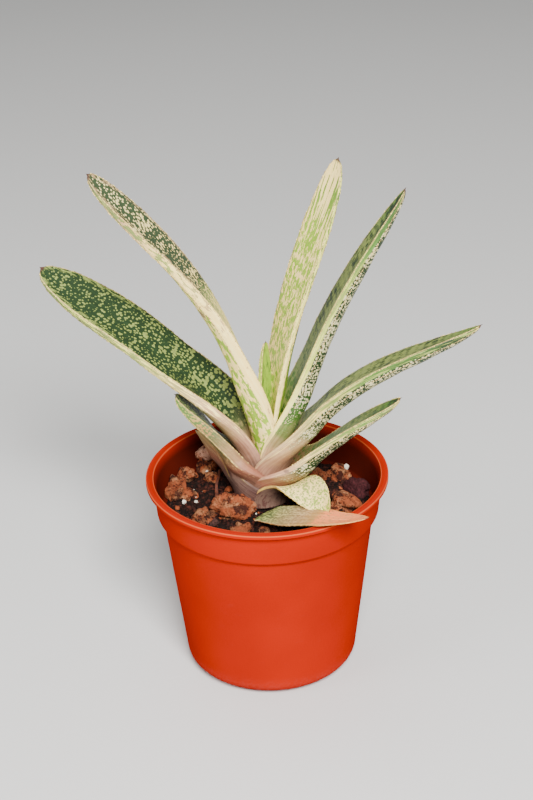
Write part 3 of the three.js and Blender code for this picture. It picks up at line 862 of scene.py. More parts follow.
def bark_finish(name, dark, light):
    material, sheet, place = new_finish(name)
    x, y, z = sheet.split(place)
    grain = sheet.noise(sheet.vector(x * 2.2, y * 0.5, z * 2.2), 1.0, 4.0, 0.65)
    colour = sheet.mix(grain.ease(0.35, 0.7), opaque(dark), opaque(light))
    close_finish(sheet, colour, 0.8 + grain * 0.1, sheet.bump(grain, 0.0004), gloss=0.15)
    return material


def lava_finish(colours, name, tone, pale=False):
    material, sheet, place = new_finish(f"{name} finish")
    broad = sheet.noise(place, 0.22, 3.0)
    dusty = sheet.noise(sheet.shifted(place, (31.0, 7.0, 0.0)), 0.3, 2.0)
    fine = sheet.noise(place, 1.1, 6.0, 0.7)
    grit = sheet.noise(place, 5.0, 2.0)
    pores = sheet.cells(place, 1.1)
    light = tinted(colours.lava, 0.35 + 0.9 * tone)
    dust = tinted(colours.dust, 0.15 + 0.85 * tone)
    dark = tinted(colours.lava_dark, 0.55 + 0.6 * tone)
    colour = sheet.mix((broad + (fine - 0.5) * 0.8).ease(0.42, 0.56), opaque(dark), opaque(light))
    veil = dusty * 0.7 + fine * 0.5 + (grit - 0.5) * 0.35
    if pale:
        dust = list(colours.rose)
        veil = veil + 0.12
    colour = sheet.mix(veil.ease(0.58, 0.8) * 0.9, colour, opaque(dust))
    # Painted shade: the pits are darkened as if shade fell in them, and the bump dents them.
    shaded_pits = (1.0 - pores.ease(0.1, 0.3)) * dusty.ease(0.45, 0.55)
    colour = sheet.mix(shaded_pits * 0.7, colour, opaque(dark, 0.35))
    normal = sheet.bump(fine * 1.2 + grit * 0.35 - shaded_pits * 0.5, 0.0011)
    close_finish(sheet, colour, 0.86 + fine * 0.1, normal, gloss=0.15)
    return material


class GASTERIA_OT_stones(bpy.types.Operator):
    """Lays the lava and bark chunks, half sunk in the soil"""

    bl_idname = "gasteria.stones"
    bl_label = "Lava and bark"

    def execute(self, context):
        sizes = context.scene.gasteria_sizes
        level = sizes.soil_level / MM
        colours = context.scene.gasteria_colours
        for name, (at, size, turn, seed, sink, tone) in STONES.items():
            ball = bmesh.new()
            bmesh.ops.create_icosphere(ball, subdivisions=STONE_CUTS, radius=1.0)
            waves = stone_waves(seed)
            spun = Matrix.Rotation(math.radians(turn), 3, "Z")
            half = Vector(size)
            middle = Vector((*at, soil_height(level, *at) + half.z * (1 - 2 * sink)))
            for vertex in ball.verts:
                way = vertex.co.normalized()
                lump = 1 + sum(h * math.sin(p * way.dot(a) * 2 + f) for a, p, f, h in waves)
                lump += stone_relief(way, seed, max(half))
                place = spun @ Vector(way[i] * half[i] * lump for i in range(3)) + middle
                room = inner_radius(sizes, place.z) - STONE_GAP
                reach = math.hypot(place.x, place.y)
                if reach > room:
                    place.x *= room / reach
                    place.y *= room / reach
                vertex.co = place * MM
            if name == "bark_right":
                finish = bark_finish("bark chunk", tinted(colours.bark, 0.3), colours.bark)
            else:
                finish = lava_finish(colours, name, tone, name == "loose_pale")
            chunk = cast(f"{name}_chunk", ball, finish, shade_smooth=True)
            solids = [] if name.startswith("loose") else [name]
            settle(chunk, "bark" if name.startswith("bark") else "stone", *solids)
        return {"FINISHED"}


# ---- Leaves --------------------------------------------------------------

def stem_middle(z):
    """Where the leaning stem's axis stands at a height."""
    return STEM["x"] + STEM["lean"] * (z - STEM["level"]), STEM["y"]


def spine(leaf, stations):
    """Points, headings and compass directions along a leaf's middle line."""
    middles = (np.arange(SPINE_STEPS) + 0.5) / SPINE_STEPS

    def heading(s):
        up = np.radians(leaf["rise"] + leaf["bend"] * s + leaf["curl"] * s * s)
        around = np.radians(leaf["azimuth"] + leaf["swing"] * s)
        flat = np.cos(up)
        return np.stack([flat * np.cos(around), flat * np.sin(around), np.sin(up)], 1), around

    walked = np.vstack([np.zeros(3), np.cumsum(heading(middles)[0], 0) * leaf["length"] / SPINE_STEPS])
    a = math.radians(leaf["azimuth"])
    x, y = stem_middle(leaf["root"])
    root = np.array([
        x + math.cos(a) * leaf["reach"] + leaf["shift"][0],
        y + math.sin(a) * leaf["reach"] + leaf["shift"][1],
        leaf["root"],
    ])
    at = np.linspace(0, 1, SPINE_STEPS + 1)
    points = np.stack([np.interp(stations, at, walked[:, i]) for i in range(3)], 1) + root
    along, around = heading(stations)
    return points, along, around


def cross_frame(leaf, stations, along, around):
    """Directions across the leaf and out of its upper face, with its roll and twist."""
    side = leaf["side"]
    across = side * np.stack([np.sin(around), -np.cos(around), 0 * around], 1)
    face = side * np.cross(across, along)
    turn = (np.radians(leaf["roll"] + leaf["twist"] * stations) * smooth(0, leaf["open"], stations))[:, None]
    return across * np.cos(turn) - face * np.sin(turn), face * np.cos(turn) + across * np.sin(turn)


def half_width(leaf, s):
    """Half the leaf's width: flared round the stem, widest near the middle and blunt at the tip."""
    to_tip = np.clip((s - BLADE["widest"]) / (1 - BLADE["widest"]), 0, 1)
    flare = leaf["flare"] + (1 - leaf["flare"]) * smooth(0, 0.35, s)
    return leaf["width"] / 2 * flare * np.sqrt(np.maximum(1 - to_tip ** leaf["blunt"], 0))


# Corners of the section, each with the number of steps to the next one, the zone of that edge and
# how far the corner may be rounded. The zones are the upper face (0), the front margin (1), the
# front and back of the keeled underside (2 and 3) and the back margin (4).
EDGES = [
    (4, 0, 0.3), (4, 0, 1), (4, 0, 1), (4, 0, 1), (4, 0, 1), (4, 0, 1), (2, 1, 0.5),
    (6, 1, 0.5), (4, 2, 0.45), (5, 2, 1), (4, 3, 0.6), (4, 3, 1), (4, 3, 1), (4, 4, 0.5),
]
MARGIN_ZONES = (1, 4)
ROUNDING_PASSES = 5

# Columns of the divided outline: those along which beads run, and how many the upper face's side has.
MARGIN_COLUMNS = (0, 25, 32)
FACE_COLUMNS = 27

# How finely a leaf is divided lengthwise. The tip ends in smaller rings, each given by how far it
# stands past the spine's end in millimetres and its share of the last section, and in one point.
SPINE_STEPS = 400
SHEATH_STATIONS = 40
BLADE_STATIONS = 110
LAST_STATION = 0.9975
TIP_RINGS = ((0.05, 0.5), (0.35, 0.24), (0.6, 0.12))
TIP_REACH = 0.8


def sections(leaf, s):
    """The section's corners at each station as (across, face), from the back margin round."""
    grown = smooth(0, SHEATH["spread"], s)
    w = half_width(leaf, s)
    end_fade = np.sqrt(np.maximum(1 - np.clip((s - 0.6) / 0.4, 0, 1) ** 3, 0))
    blade_margin = leaf["margin"] * (1 - BLADE["margin_thinning"] * s)
    m = np.minimum((SHEATH["margin"] * (1 - grown) + blade_margin * grown) * end_fade, 1.2 * w)
    blade_depth = leaf["depth"] * (1 - BLADE["thinning"] * s)
    body = (SHEATH["depth"] * (1 - grown) + blade_depth * grown) * np.sqrt(np.maximum(1 - s ** 6, 0))
    h = np.maximum(body, m * 1.12)
    inset = BLADE["undercut"] * m
    keel = leaf["keel"] * grown * w

    def dip(f):
        return f * w, -BLADE["channel"] * grown * w * (1 - f * f)

    def belly(f, start, depth, sign):
        return start + (keel - start) * f + sign * 0.03 * w, -(depth + (h - depth) * f) - 0.04 * w

    front = w - inset
    back = -w + inset
    corners = [
        (-w, -0.2 * m), dip(-2 / 3), dip(-1 / 3), dip(0), dip(1 / 3), dip(2 / 3),
        (w - 0.12 * m, 0 * w), (w, -0.18 * m), (front, -m), belly(0.5, front, m, 1),
        (keel, -h), belly(0.65, back, 0.75 * m, -1), belly(0.33, back, 0.75 * m, -1), (back, -0.75 * m),
    ]
    return np.array(corners)


def fine_outline(corners):
    """The outline with every edge divided and its corners rounded."""
    count = len(EDGES)
    outline = []
    give = []
    for i, (steps, _, rounding) in enumerate(EDGES):
        following = corners[(i + 1) % count]
        next_rounding = EDGES[(i + 1) % count][2]
        for j in range(steps):
            t = j / steps
            outline.append(corners[i] * (1 - t) + following * t)
            near = min(t, 1 - t) * 2
            corner = rounding if t < 0.5 else next_rounding
            give.append(corner + (1 - corner) * near if steps > 2 else corner)
    outline = np.array(outline)
    give = np.array(give)[:, None, None] * 0.5
    for _ in range(ROUNDING_PASSES):
        outline = outline + give * ((np.roll(outline, 1, 0) + np.roll(outline, -1, 0)) / 2 - outline)
    return outline


def leaf_stations():
    """Shares of the length, closer together in the sheath and towards the tip."""
    sheath = np.linspace(0, SHEATH["spread"], SHEATH_STATIONS)[:-1]
    blade = 1 - (1 - np.linspace(0, 1, BLADE_STATIONS)) ** 1.35 * (1 - SHEATH["spread"])
    return np.unique(np.minimum(np.concatenate([sheath, blade]), LAST_STATION))


def wrapped(leaf, outline, stations, middle, across, face):
    """The outline set round the spine, and bent round the stem where the leaf is a sheath."""
    root_width = leaf["width"] / 2 * leaf["flare"]
    hold = math.radians(leaf["clasp"]) * (1 - smooth(0, leaf["open"], stations)) / root_width
    bend = np.maximum(hold, 1e-5)
    u, n = outline[:, 0], outline[:, 1]
    radius = 1 / bend - n
    return (
        middle[None]
        + (radius * np.sin(u * bend))[..., None] * across[None]
        + (1 / bend - radius * np.cos(u * bend))[..., None] * face[None]
    ).transpose(1, 0, 2)


def roughen(points, stations, rough):
    """Swells the surface a little, and makes the margins gritty."""
    margins = []
    for before, (steps, zone, _) in zip([EDGES[-1], *EDGES], EDGES):
        starts = zone in MARGIN_ZONES or before[1] in MARGIN_ZONES
        margins += [float(starts)] + [float(zone in MARGIN_ZONES)] * (steps - 1)
    middle = points.mean(1, keepdims=True)
    for i, station in enumerate(stations):
        fade = smooth(0.0, 0.06, 1 - station)
        for j, margin in enumerate(margins):
            p = Vector(points[i, j])
            out = points[i, j] - middle[i, 0]
            size = np.linalg.norm(out) + 1e-9
            swell = rough["swell"] * noise.noise(p * 0.16 + Vector((rough["seed"], 0, 0)))
            grit = rough["grit"] * noise.noise(p * 2.6) * margin
            points[i, j] += out / size * min((swell + grit) * fade, size * 0.3)


def root_faces(count):
    """Closes the root's end between the columns of the upper face and those below."""
    upper = list(range(FACE_COLUMNS))
    lower = [count - 1 - j for j in range(count - FACE_COLUMNS)]
    faces = []
    i = j = 0
    while i < len(upper) - 1 or j < len(lower) - 1:
        if i * (len(lower) - 1) <= j * (len(upper) - 1) and i < len(upper) - 1:
            faces.append((lower[j], upper[i + 1], upper[i]))
            i += 1
        else:
            faces.append((lower[j], lower[j + 1], upper[i]))
            j += 1
    return faces


def leaf_mesh(name, leaf, material, rough):
    """The leaf's closed surface with its own map: millimetres across and along, and the zone."""
    stations = leaf_stations()
    middle, along, around = spine(leaf, stations)
    across, face = cross_frame(leaf, stations, along, around)
    outline = fine_outline(sections(leaf, stations))
    count = outline.shape[0]
    points = wrapped(leaf, outline, stations, middle, across, face)
    roughen(points, stations, rough)
    tip, tip_along, _ = spine(leaf, np.array([1.0]))
    last = points[-1] - points[-1].mean(0)
    tip_rings = [tip + tip_along * ahead + last * share for ahead, share in TIP_RINGS]
    rings = len(stations) + len(tip_rings)
    points = np.concatenate([points.reshape(-1, 3), *tip_rings, tip + tip_along * TIP_REACH])
    columns = [range(i * count, (i + 1) * count) for i in range(rings)]
    faces = ring_faces([*columns, [rings * count] * count]) + root_faces(count)
    piece = add_mesh(name, points, faces, material)
    repair = bmesh.new()
    repair.from_mesh(piece.data)
    bmesh.ops.recalc_face_normals(repair, faces=repair.faces)
    repair.to_mesh(piece.data)
    repair.free()
    map_leaf(piece.data, leaf, outline, stations, count)
    return piece


def map_leaf(mesh, leaf, outline, stations, count):
    """Stores the map of the surface, and the distance to the zone's border, on the mesh's corners."""
    zones = [zone for steps, zone, _ in EDGES for _ in range(steps)]
    ring = np.concatenate([outline, outline[:1]])
    steps = np.hypot(*(ring[1:] - ring[:-1]).transpose(1, 0, 2))
    walked = np.vstack([np.zeros(steps.shape[1]), np.cumsum(steps, 0)])
    starts = {}
    ends = {}
    for j, zone in enumerate(zones):
        starts.setdefault(zone, j)
        ends[zone] = j + 1
    along = stations * leaf["length"]
    vectors = np.zeros((len(mesh.loops), 3))
    edges = np.zeros(len(mesh.loops))
    last = len(stations) - 1
    for polygon in mesh.polygons:
        ids = [mesh.loops[k].vertex_index for k in polygon.loop_indices]
        columns = [v % count for v in ids]
        column = count - 1 if 0 in columns and count - 1 in columns else min(columns)
        zone = zones[column]
        for k, v in zip(polygon.loop_indices, ids):
            i, j = divmod(v, count)
            if column == count - 1 and j == 0:
                j = count
            i = min(i, last)
            begin, finish = walked[starts[zone], i], walked[ends[zone], i]
            reference = (begin + finish) / 2 if zone == 0 else begin
            vectors[k] = (walked[j, i] - reference, along[i], zone)
            edges[k] = min(walked[j, i] - begin, finish - walked[j, i])
    surface = mesh.attributes.new("leaf_map", "FLOAT_VECTOR", "CORNER")
    surface.data.foreach_set("vector", vectors.ravel())
    border = mesh.attributes.new("leaf_edge", "FLOAT", "CORNER")
    border.data.foreach_set("value", edges)


def zone_colour(sheet, look, colours, across, along, share, seed):
    """The ground colour with its spots, dashes or streaks over it."""
    def stops(pairs):
        return [(place, opaque(getattr(colours, name))) for place, name in pairs]

    covered = [(place, grey(float(value))) for place, value in look["cover"]]
    cover = sheet.split(sheet.ramp(share, covered))[0]
    wide, tall = look["grain"]
    x, y = across * (1 / wide) + seed, along * (1 / tall) + seed * 0.7
    place = sheet.vector(x, y, seed)
    if look["kind"] == "streaks":
        grain = sheet.noise(place, 1.0, 3.0, 0.6)
        if "stripes" in look:
            lines = sheet.noise(sheet.vector(x * 1.25, y * 0.16, seed), 1.0, 2.0)
            grain = grain + (lines - grain) * share.ease(*look["stripes"]) * 0.75
        mask = (0.5 + (cover - 0.5) * 0.55 - grain).ease(-0.025, 0.025)
    else:
        ragged = sheet.noise(place, 1.9, 2.0)
        aside, ahead = (ragged - 0.5) * 0.5, (sheet.noise(place, 1.6, 2.0) - 0.5) * 0.5
        warped = sheet.vector(x + aside, y + ahead, 0.0)
        cells = sheet.add(
            "ShaderNodeTexVoronoi", {"feature": "F1", "voronoi_dimensions": "2D"},
            {"Vector": warped, "Scale": 1.0, "Randomness": 0.55 if look["kind"] == "dashes" else 1.0},
        )["Distance"]
        patches = sheet.noise(sheet.vector(x * 0.17, y * 0.36, seed), 1.0, 2.0)
        reach = 0.08 + cover * 0.42 + (patches - 0.5) * 1.1 + (ragged - 0.5) * 0.25
        mask = (reach * cover.ease(0.0, 0.2) - cells).ease(-0.03, 0.06)
    ground = sheet.ramp(share, stops(look["ground"]))
    marks = sheet.ramp(share, stops(look["marks"]))
    return sheet.mix(mask, ground, marks), mask


def leaf_finish(name, leaf, look, colours, seed):
    """Paints the three parts, then the pale margins, the blotches, the veins and a broad shade."""
    dry = name in DRY_LEAVES
    material, sheet, place = new_finish(f"{name} finish")
    surface = sheet.add("ShaderNodeAttribute", {"attribute_name": "leaf_map"})["Vector"]
    edge = sheet.add("ShaderNodeAttribute", {"attribute_name": "leaf_edge"})["Fac"]
    across, along, zone = sheet.split(surface)
    travelled = along * (1 / leaf["length"])
    share = travelled + (sheet.noise(place, 0.25, 2.0) - 0.5) * 0.12
    fine = sheet.noise(place, 3.0, 3.0, 0.6)
    front = zone.over(0.5) * zone.under(1.5)
    if "strip" in look:
        front = front * across.under((look["strip"] + (fine - 0.5) * 0.8) * (1.0 - share * 0.35))
    inside = {"face": zone.under(0.5), "facet": front, "belly": zone.over(0.5) * (1.0 - front)}
    colour, marks = zone_colour(sheet, look["face"], colours, across, along, share, seed)
    for i, part in enumerate(("facet", "belly")):
        tint, mask = zone_colour(sheet, look[part], colours, across, along, share, seed + 11 * i + 11)
        colour = sheet.mix(inside[part], colour, tint)
        marks = marks * (1.0 - inside[part]) + mask * inside[part]
    cream = opaque(colours.straw if dry else colours.cream)
    if "rim" in look["face"]:
        tint, width, start = look["face"]["rim"]
        dashes = sheet.noise(sheet.vector(across * 1.4, along * 0.28, seed), 1.0, 2.0).ease(0.47, 0.53)
        near = 1.0 - edge.ease(width * 0.5, width)
        rim = dashes * near * share.ease(start, start + 0.1) * inside["face"]
        colour = sheet.mix(rim * 0.7, colour, opaque(getattr(colours, tint)))
    for part, aside, along_at, radius in look.get("blotches", []):
        off = ((across - aside) ** 2.0 + (along - along_at) ** 2.0) ** 0.5 + (fine - 0.5) * radius
        spot = (radius - off).ease(0.0, radius * 0.5) * inside[part]
        colour = sheet.mix(spot * 0.8, colour, opaque(colours.brown))
    line = (1.0 - edge.ease(0.08, 0.4)) * (fine.ease(0.3, 0.6) * 0.4 + 0.12)
    if "strip" in look:
        line = line * (1.0 - inside["belly"]) * (inside["face"] + across.under(1.0))
    colour = sheet.mix(line * share.ease(0.22, 0.4), colour, cream)
    shade = sheet.noise(place, 0.7, 4.0, 0.6)
    veins = sheet.noise(sheet.vector(across * 1.7, along * 0.07, seed + 5.0), 1.0, 3.0).ease(0.36, 0.62)
    veined = sheet.mix(veins, (0.14, 0.12, 0.13, 1), grey(0.8))
    colour = sheet.mix(look.get("veins", 0.35) - share * 0.2, colour, veined, "SOFT_LIGHT")
    colour = sheet.mix(0.25, colour, sheet.mix(shade, grey(0.25), grey(1)), "SOFT_LIGHT")
    colour = sheet.mix(travelled.ease(0.988, 0.999), colour, opaque(colours.plum))
    roughness = (0.62 if dry else 0.44) + (fine - 0.5) * 0.2 + line * 0.15
    normal = sheet.bump(fine * 0.5 + marks * 0.3 + shade * 0.4, 0.0003 if dry else 0.0002)
    close_finish(sheet, colour, roughness, normal, gloss=0.28)
    return material


class GASTERIA_OT_leaves(bpy.types.Operator):
    """Grows every leaf along its own arc, keeled below and blunt at the margins"""

    bl_idname = "gasteria.leaves"
    bl_label = "Leaves"

    def execute(self, context):
        colours = context.scene.gasteria_colours
        for i, (name, own) in enumerate(LEAVES.items()):
            leaf = {**COMMON, **own}
            finish = leaf_finish(name, leaf, LOOKS[name], colours, 3.7 * i + 1.3)
            dry = name in DRY_LEAVES
            rough = {"seed": 9.1 * i, "swell": 0.5 if dry else 0.22, "grit": 0.3}
            piece = leaf_mesh(f"{name}_blade", leaf, finish, rough)
            settle(piece, LEAF_SLOTS.get(name, "leaf"), name)
        return {"FINISHED"}


class GASTERIA_OT_stem(bpy.types.Operator):
    """Turns the short stem that the leaf bases clasp"""

    bl_idname = "gasteria.stem"
    bl_label = "Stem"

    def execute(self, context):
        colours = context.scene.gasteria_colours
        material, sheet, place = new_finish("stem skin")
        rings = sheet.noise(place, 0.9, 4.0)
        colour = sheet.mix(rings.ease(0.35, 0.7), opaque(colours.brown), opaque(colours.stem))
        close_finish(sheet, colour, 0.6 + rings * 0.2, sheet.bump(rings, 0.0003))
        points, faces = turned(rounded(STEM_PROFILE, 1.5), STEM_SIDES)
        points = [(x + stem_middle(z)[0], y + stem_middle(z)[1], z) for x, y, z in points]
        stem = add_mesh("stem_core", points, faces, material)
        settle(stem, "stem", "stem")
        return {"FINISHED"}


# ---- Crumbs, grains, fibres and margin beads -----------------------------

ANY_TURN = ((0.0, 0.0, 0.0), (6.28, 6.28, 6.28))
GRAIN_KINDS = (0.0, 5.3, 9.1, 14.7)


def shape_sheet(name, *sizes):
    """A geometry tree with inputs for its seedbed, sizes, seed and material; returns their keys too."""
    tree = bpy.data.node_groups.new(name, "GeometryNodeTree")
    tree.interface.new_socket("Geometry", in_out="OUTPUT", socket_type="NodeSocketGeometry")
    tree.interface.new_socket("Geometry", in_out="INPUT", socket_type="NodeSocketGeometry")
    entries = {size: "NodeSocketFloat" for size in sizes}
    entries |= {"Seed": "NodeSocketInt", "Material": "NodeSocketMaterial"}
    keys = {
        label: tree.interface.new_socket(label, in_out="INPUT", socket_type=kind).identifier
        for label, kind in entries.items()
    }
    sheet = Sheet(tree)
    return sheet, sheet.add("NodeGroupInput"), keys


def random_float(sheet, low, high, seed):
    """A random number for each instance; 2, 3 and 1 are the node's sockets for numbers."""
    return sheet.add(
        "FunctionNodeRandomValue", {"data_type": "FLOAT"}, {2: low, 3: high, "Seed": seed},
    )[1]


def random_vector(sheet, low, high, seed):
    """A random vector for each instance; 0 and 1 are the node's sockets for vectors."""
    return sheet.add(
        "FunctionNodeRandomValue", {"data_type": "FLOAT_VECTOR"}, {0: low, 1: high, "Seed": seed},
    )[0]


def scattered(sheet, given):
    """Random points on the seedbed."""
    return sheet.add(
        "GeometryNodeDistributePointsOnFaces", {"distribute_method": "RANDOM"},
        {"Mesh": given["Geometry"], "Density": given["Density"], "Seed": given["Seed"]},
    )[0]


def close_shape(sheet, instances, material, shade_seed):
    """Gives each instance a shade of its own, then makes them one plain mesh."""
    shade = random_float(sheet, 0.0, 1.0, seed=shade_seed)
    kept = sheet.add(
        "GeometryNodeStoreNamedAttribute", {"data_type": "FLOAT", "domain": "INSTANCE"},
        {"Geometry": instances, "Name": "shade", "Value": shade},
    )
    real = sheet.add("GeometryNodeRealizeInstances", inputs={"Geometry": kept[0]})
    done = sheet.add("GeometryNodeSetMaterial", inputs={"Geometry": real[0], "Material": material})
    sheet.add("NodeGroupOutput", inputs={0: done[0]})


def rough_grain(sheet, subdivisions, offset):
    """One irregular grain of radius 1."""
    ball = sheet.add("GeometryNodeMeshIcoSphere", inputs={"Radius": 1.0, "Subdivisions": subdivisions})
    place = sheet.shifted(sheet.add("GeometryNodeInputPosition")[0], (offset, offset * 0.7, 0.0))
    wander = sheet.add(
        "ShaderNodeTexNoise", {"noise_dimensions": "3D"}, {"Vector": place, "Scale": 0.9, "Detail": 2.0},
    )["Color"]
    push = sheet.scaled(sheet.shifted(wander, (-0.5, -0.5, -0.5)), 1.9)
    moved = sheet.add("GeometryNodeSetPosition", inputs={"Geometry": ball[0], "Offset": push})
    return sheet.add("GeometryNodeGeometryToInstance", inputs={0: moved[0]})[0]


def grain_tree(name, subdivisions):
    """Scatters irregular grains of a few kinds, most of them small."""
    sheet, given, keys = shape_sheet(name, "Density", "Smallest", "Largest")
    kinds = sheet.add("GeometryNodeJoinGeometry")
    for offset in GRAIN_KINDS:
        sheet.tree.links.new(rough_grain(sheet, subdivisions, offset).socket, kinds.node.inputs[0])
    spread = random_float(sheet, 0.0, 1.0, seed=3)
    size = given["Smallest"] + (given["Largest"] - given["Smallest"]) * spread ** 2.5
    shape = random_vector(sheet, (0.6, 0.6, 0.5), (1.2, 1.2, 0.9), seed=5)
    last = len(GRAIN_KINDS) - 1
    pick = sheet.add("FunctionNodeRandomValue", {"data_type": "INT"}, {4: 0, 5: last, "Seed": 7})[2]
    placed = sheet.add("GeometryNodeInstanceOnPoints", inputs={
        "Points": scattered(sheet, given), "Instance": kinds[0], "Pick Instance": True,
        "Instance Index": pick, "Rotation": random_vector(sheet, *ANY_TURN, seed=9),
        "Scale": sheet.scaled(shape, size),
    })
    close_shape(sheet, placed[0], given["Material"], shade_seed=11)
    return sheet.tree, keys


def fibre_tree(name):
    """Scatters thin bent fibres that lie nearly flat."""
    sheet, given, keys = shape_sheet(name, "Density", "Longest", "Thickness")
    arc = sheet.add("GeometryNodeCurveQuadraticBezier", inputs={
        "Resolution": 6, "Start": (-0.5, 0.0, 0.0), "Middle": (0.05, 0.22, 0.06), "End": (0.5, -0.05, 0.0),
    })
    thick = given["Thickness"] / given["Longest"]
    ring = sheet.add("GeometryNodeCurvePrimitiveCircle", inputs={"Resolution": 5, "Radius": thick})
    twig = sheet.add("GeometryNodeCurveToMesh", inputs={
        "Curve": arc[0], "Profile Curve": ring[0], "Fill Caps": True,
    })
    length = given["Longest"] * random_float(sheet, 0.35, 1.0, seed=13)
    placed = sheet.add("GeometryNodeInstanceOnPoints", inputs={
        "Points": scattered(sheet, given), "Instance": twig[0],
        "Rotation": random_vector(sheet, (-0.3, -0.3, 0.0), (0.3, 0.3, 6.28), seed=15),
        "Scale": sheet.vector(length, length, length),
    })
    close_shape(sheet, placed[0], given["Material"], shade_seed=17)
    return sheet.tree, keys


def bead_tree(name):
    """Sets beads of uneven size at even steps along lines."""
    sheet, given, keys = shape_sheet(name, "Spacing", "Size")
    line = sheet.add("GeometryNodeMeshToCurve", inputs={0: given["Geometry"]})
    even = sheet.add(
        "GeometryNodeResampleCurve", {"mode": "LENGTH"}, {"Curve": line[0], "Length": given["Spacing"]},
    )
    ball = sheet.add("GeometryNodeMeshIcoSphere", inputs={"Radius": 1.0, "Subdivisions": 1})
    size = given["Size"] * random_float(sheet, 0.35, 1.0, seed=given["Seed"])
    placed = sheet.add("GeometryNodeInstanceOnPoints", inputs={
        "Points": even[0], "Instance": ball[0],
        "Rotation": random_vector(sheet, *ANY_TURN, seed=19),
        "Scale": sheet.vector(size, size, size),
    })
    close_shape(sheet, placed[0], given["Material"], shade_seed=21)
    return sheet.tree, keys


def grown(name, seedbed, tree, keys, values):
    """The tree's result on its seedbed, as a plain object of that name."""
    modifier = seedbed.modifiers.new(name, "NODES")
    modifier.node_group = tree
    for label, value in values.items():
        modifier[keys[label]] = value
    bpy.context.view_layer.update()
    made = converted(seedbed, name)
    made.data.polygons.foreach_set("use_smooth", [True] * len(made.data.polygons))
    return made


def shaded_finish(name, dark, light, roughness, bump=0.0002):
    """A finish whose colour runs from dark to light with each grain's own shade."""
    material, sheet, place = new_finish(name)
    shade = sheet.add("ShaderNodeAttribute", {"attribute_name": "shade"})["Fac"]
    grain = sheet.noise(place, 1.3, 4.0, 0.6)
    colour = sheet.mix((shade + (grain - 0.5) * 0.9).ease(0.1, 0.95), opaque(dark), opaque(light))
    close_finish(sheet, colour, roughness, sheet.bump(grain, bump), gloss=0.12)
    return material


# The bed that grains are scattered on, how far it stays from the pot's wall, and how much further
# the fibres' bed does.
BED = {"start": 0.5, "rings": 30, "sides": 96, "wall_gap": 1.3, "fibre_gap": 3.0}


def soil_patch(name, sizes, reach):
    """The soil's upper surface out to a radius, as a mesh to scatter on."""
    level = sizes.soil_level / MM
    sides = BED["sides"]
    points = []
    rings = []
    for radius in np.linspace(BED["start"], reach, BED["rings"]):
        rings.append(range(len(points), len(points) + sides))
        points.extend((x, y, soil_surface(level, x, y)) for x, y in circle(radius, sides))
    faces = [
        (low[j], high[j], high[(j + 1) % sides], low[(j + 1) % sides])
        for low, high in zip(rings, rings[1:]) for j in range(sides)
    ]
    return add_mesh(name, points, faces, bpy.data.materials.new(name))


class GASTERIA_OT_crumbs(bpy.types.Operator):
    """Scatters crumbs, small lava gravel, perlite grains and fibres on the soil"""

    bl_idname = "gasteria.crumbs"
    bl_label = "Crumbs and grains"

    def execute(self, context):
        sizes = context.scene.gasteria_sizes
        colours = context.scene.gasteria_colours
        room = soil_reach(sizes) - BED["wall_gap"]
        fine = grain_tree("fine_grains", 1)
        coarse = grain_tree("coarse_grains", 2)
        crumb = sizes.crumb
        recipes = (
            ("soil_crumbs", 0.0, fine, {
                "Density": 750000.0, "Smallest": crumb * 0.22, "Largest": crumb, "Seed": 4,
                "Material": shaded_finish("crumb finish", colours.soil, colours.crumb, 0.92),
            }),
            ("lava_gravel", 0.0, coarse, {
                "Density": 26000.0, "Smallest": crumb * 0.4, "Largest": crumb * 1.7, "Seed": 12,
                "Material": shaded_finish("gravel finish", colours.lava_dark, colours.lava, 0.9),
            }),
            ("perlite_grains", 0.0, coarse, {
                "Density": 8000.0, "Smallest": crumb * 0.4, "Largest": crumb, "Seed": 23,
                "Material": shaded_finish(
                    "perlite finish", tinted(colours.perlite, 0.6), colours.perlite, 0.8,
                ),
            }),
            ("soil_fibres", BED["fibre_gap"], fibre_tree("fibres"), {
                "Density": 30000.0, "Longest": 7 * MM, "Thickness": 0.16 * MM, "Seed": 31,
                "Material": shaded_finish("fibre finish", colours.lava_dark, colours.crumb, 0.8),
            }),
        )
        for name, gap, (tree, keys), values in recipes:
            bed = soil_patch(f"{name}_bed", sizes, room - gap)
            settle(grown(name, bed, tree, keys, values), "soil")
        return {"FINISHED"}


# The stick's path and the perlite lumps are given by place in plan and height above the soil; a
# lump's third number is its radius.
LITTER = {
    "stick": {
        "path": [(-16.4, 20.4, 1.5), (-16.9, 14, 1.5), (-17.1, 7, 0.7), (-17.6, 0, 0.6)], "thickness": 1.2,
        "sides": 10, "steps": 40,
    },
    "flake": {
        "at": (-17.9, -12.6), "corners": [(-2.2, -1.6), (2.0, -0.6), (0.4, 2.6)], "thickness": 0.7,
        "lift": 0.9, "slope": 0.25, "cuts": 7, "seed": 1,
    },
    "perlite": [
        (-20.4, 19.4, 0.9, 2.2), (-27.9, 1.6, 0.65, 0.8), (27.2, 20.0, 0.9, 2.9), (4.6, -19.7, 0.5, 0.6),
    ],
}


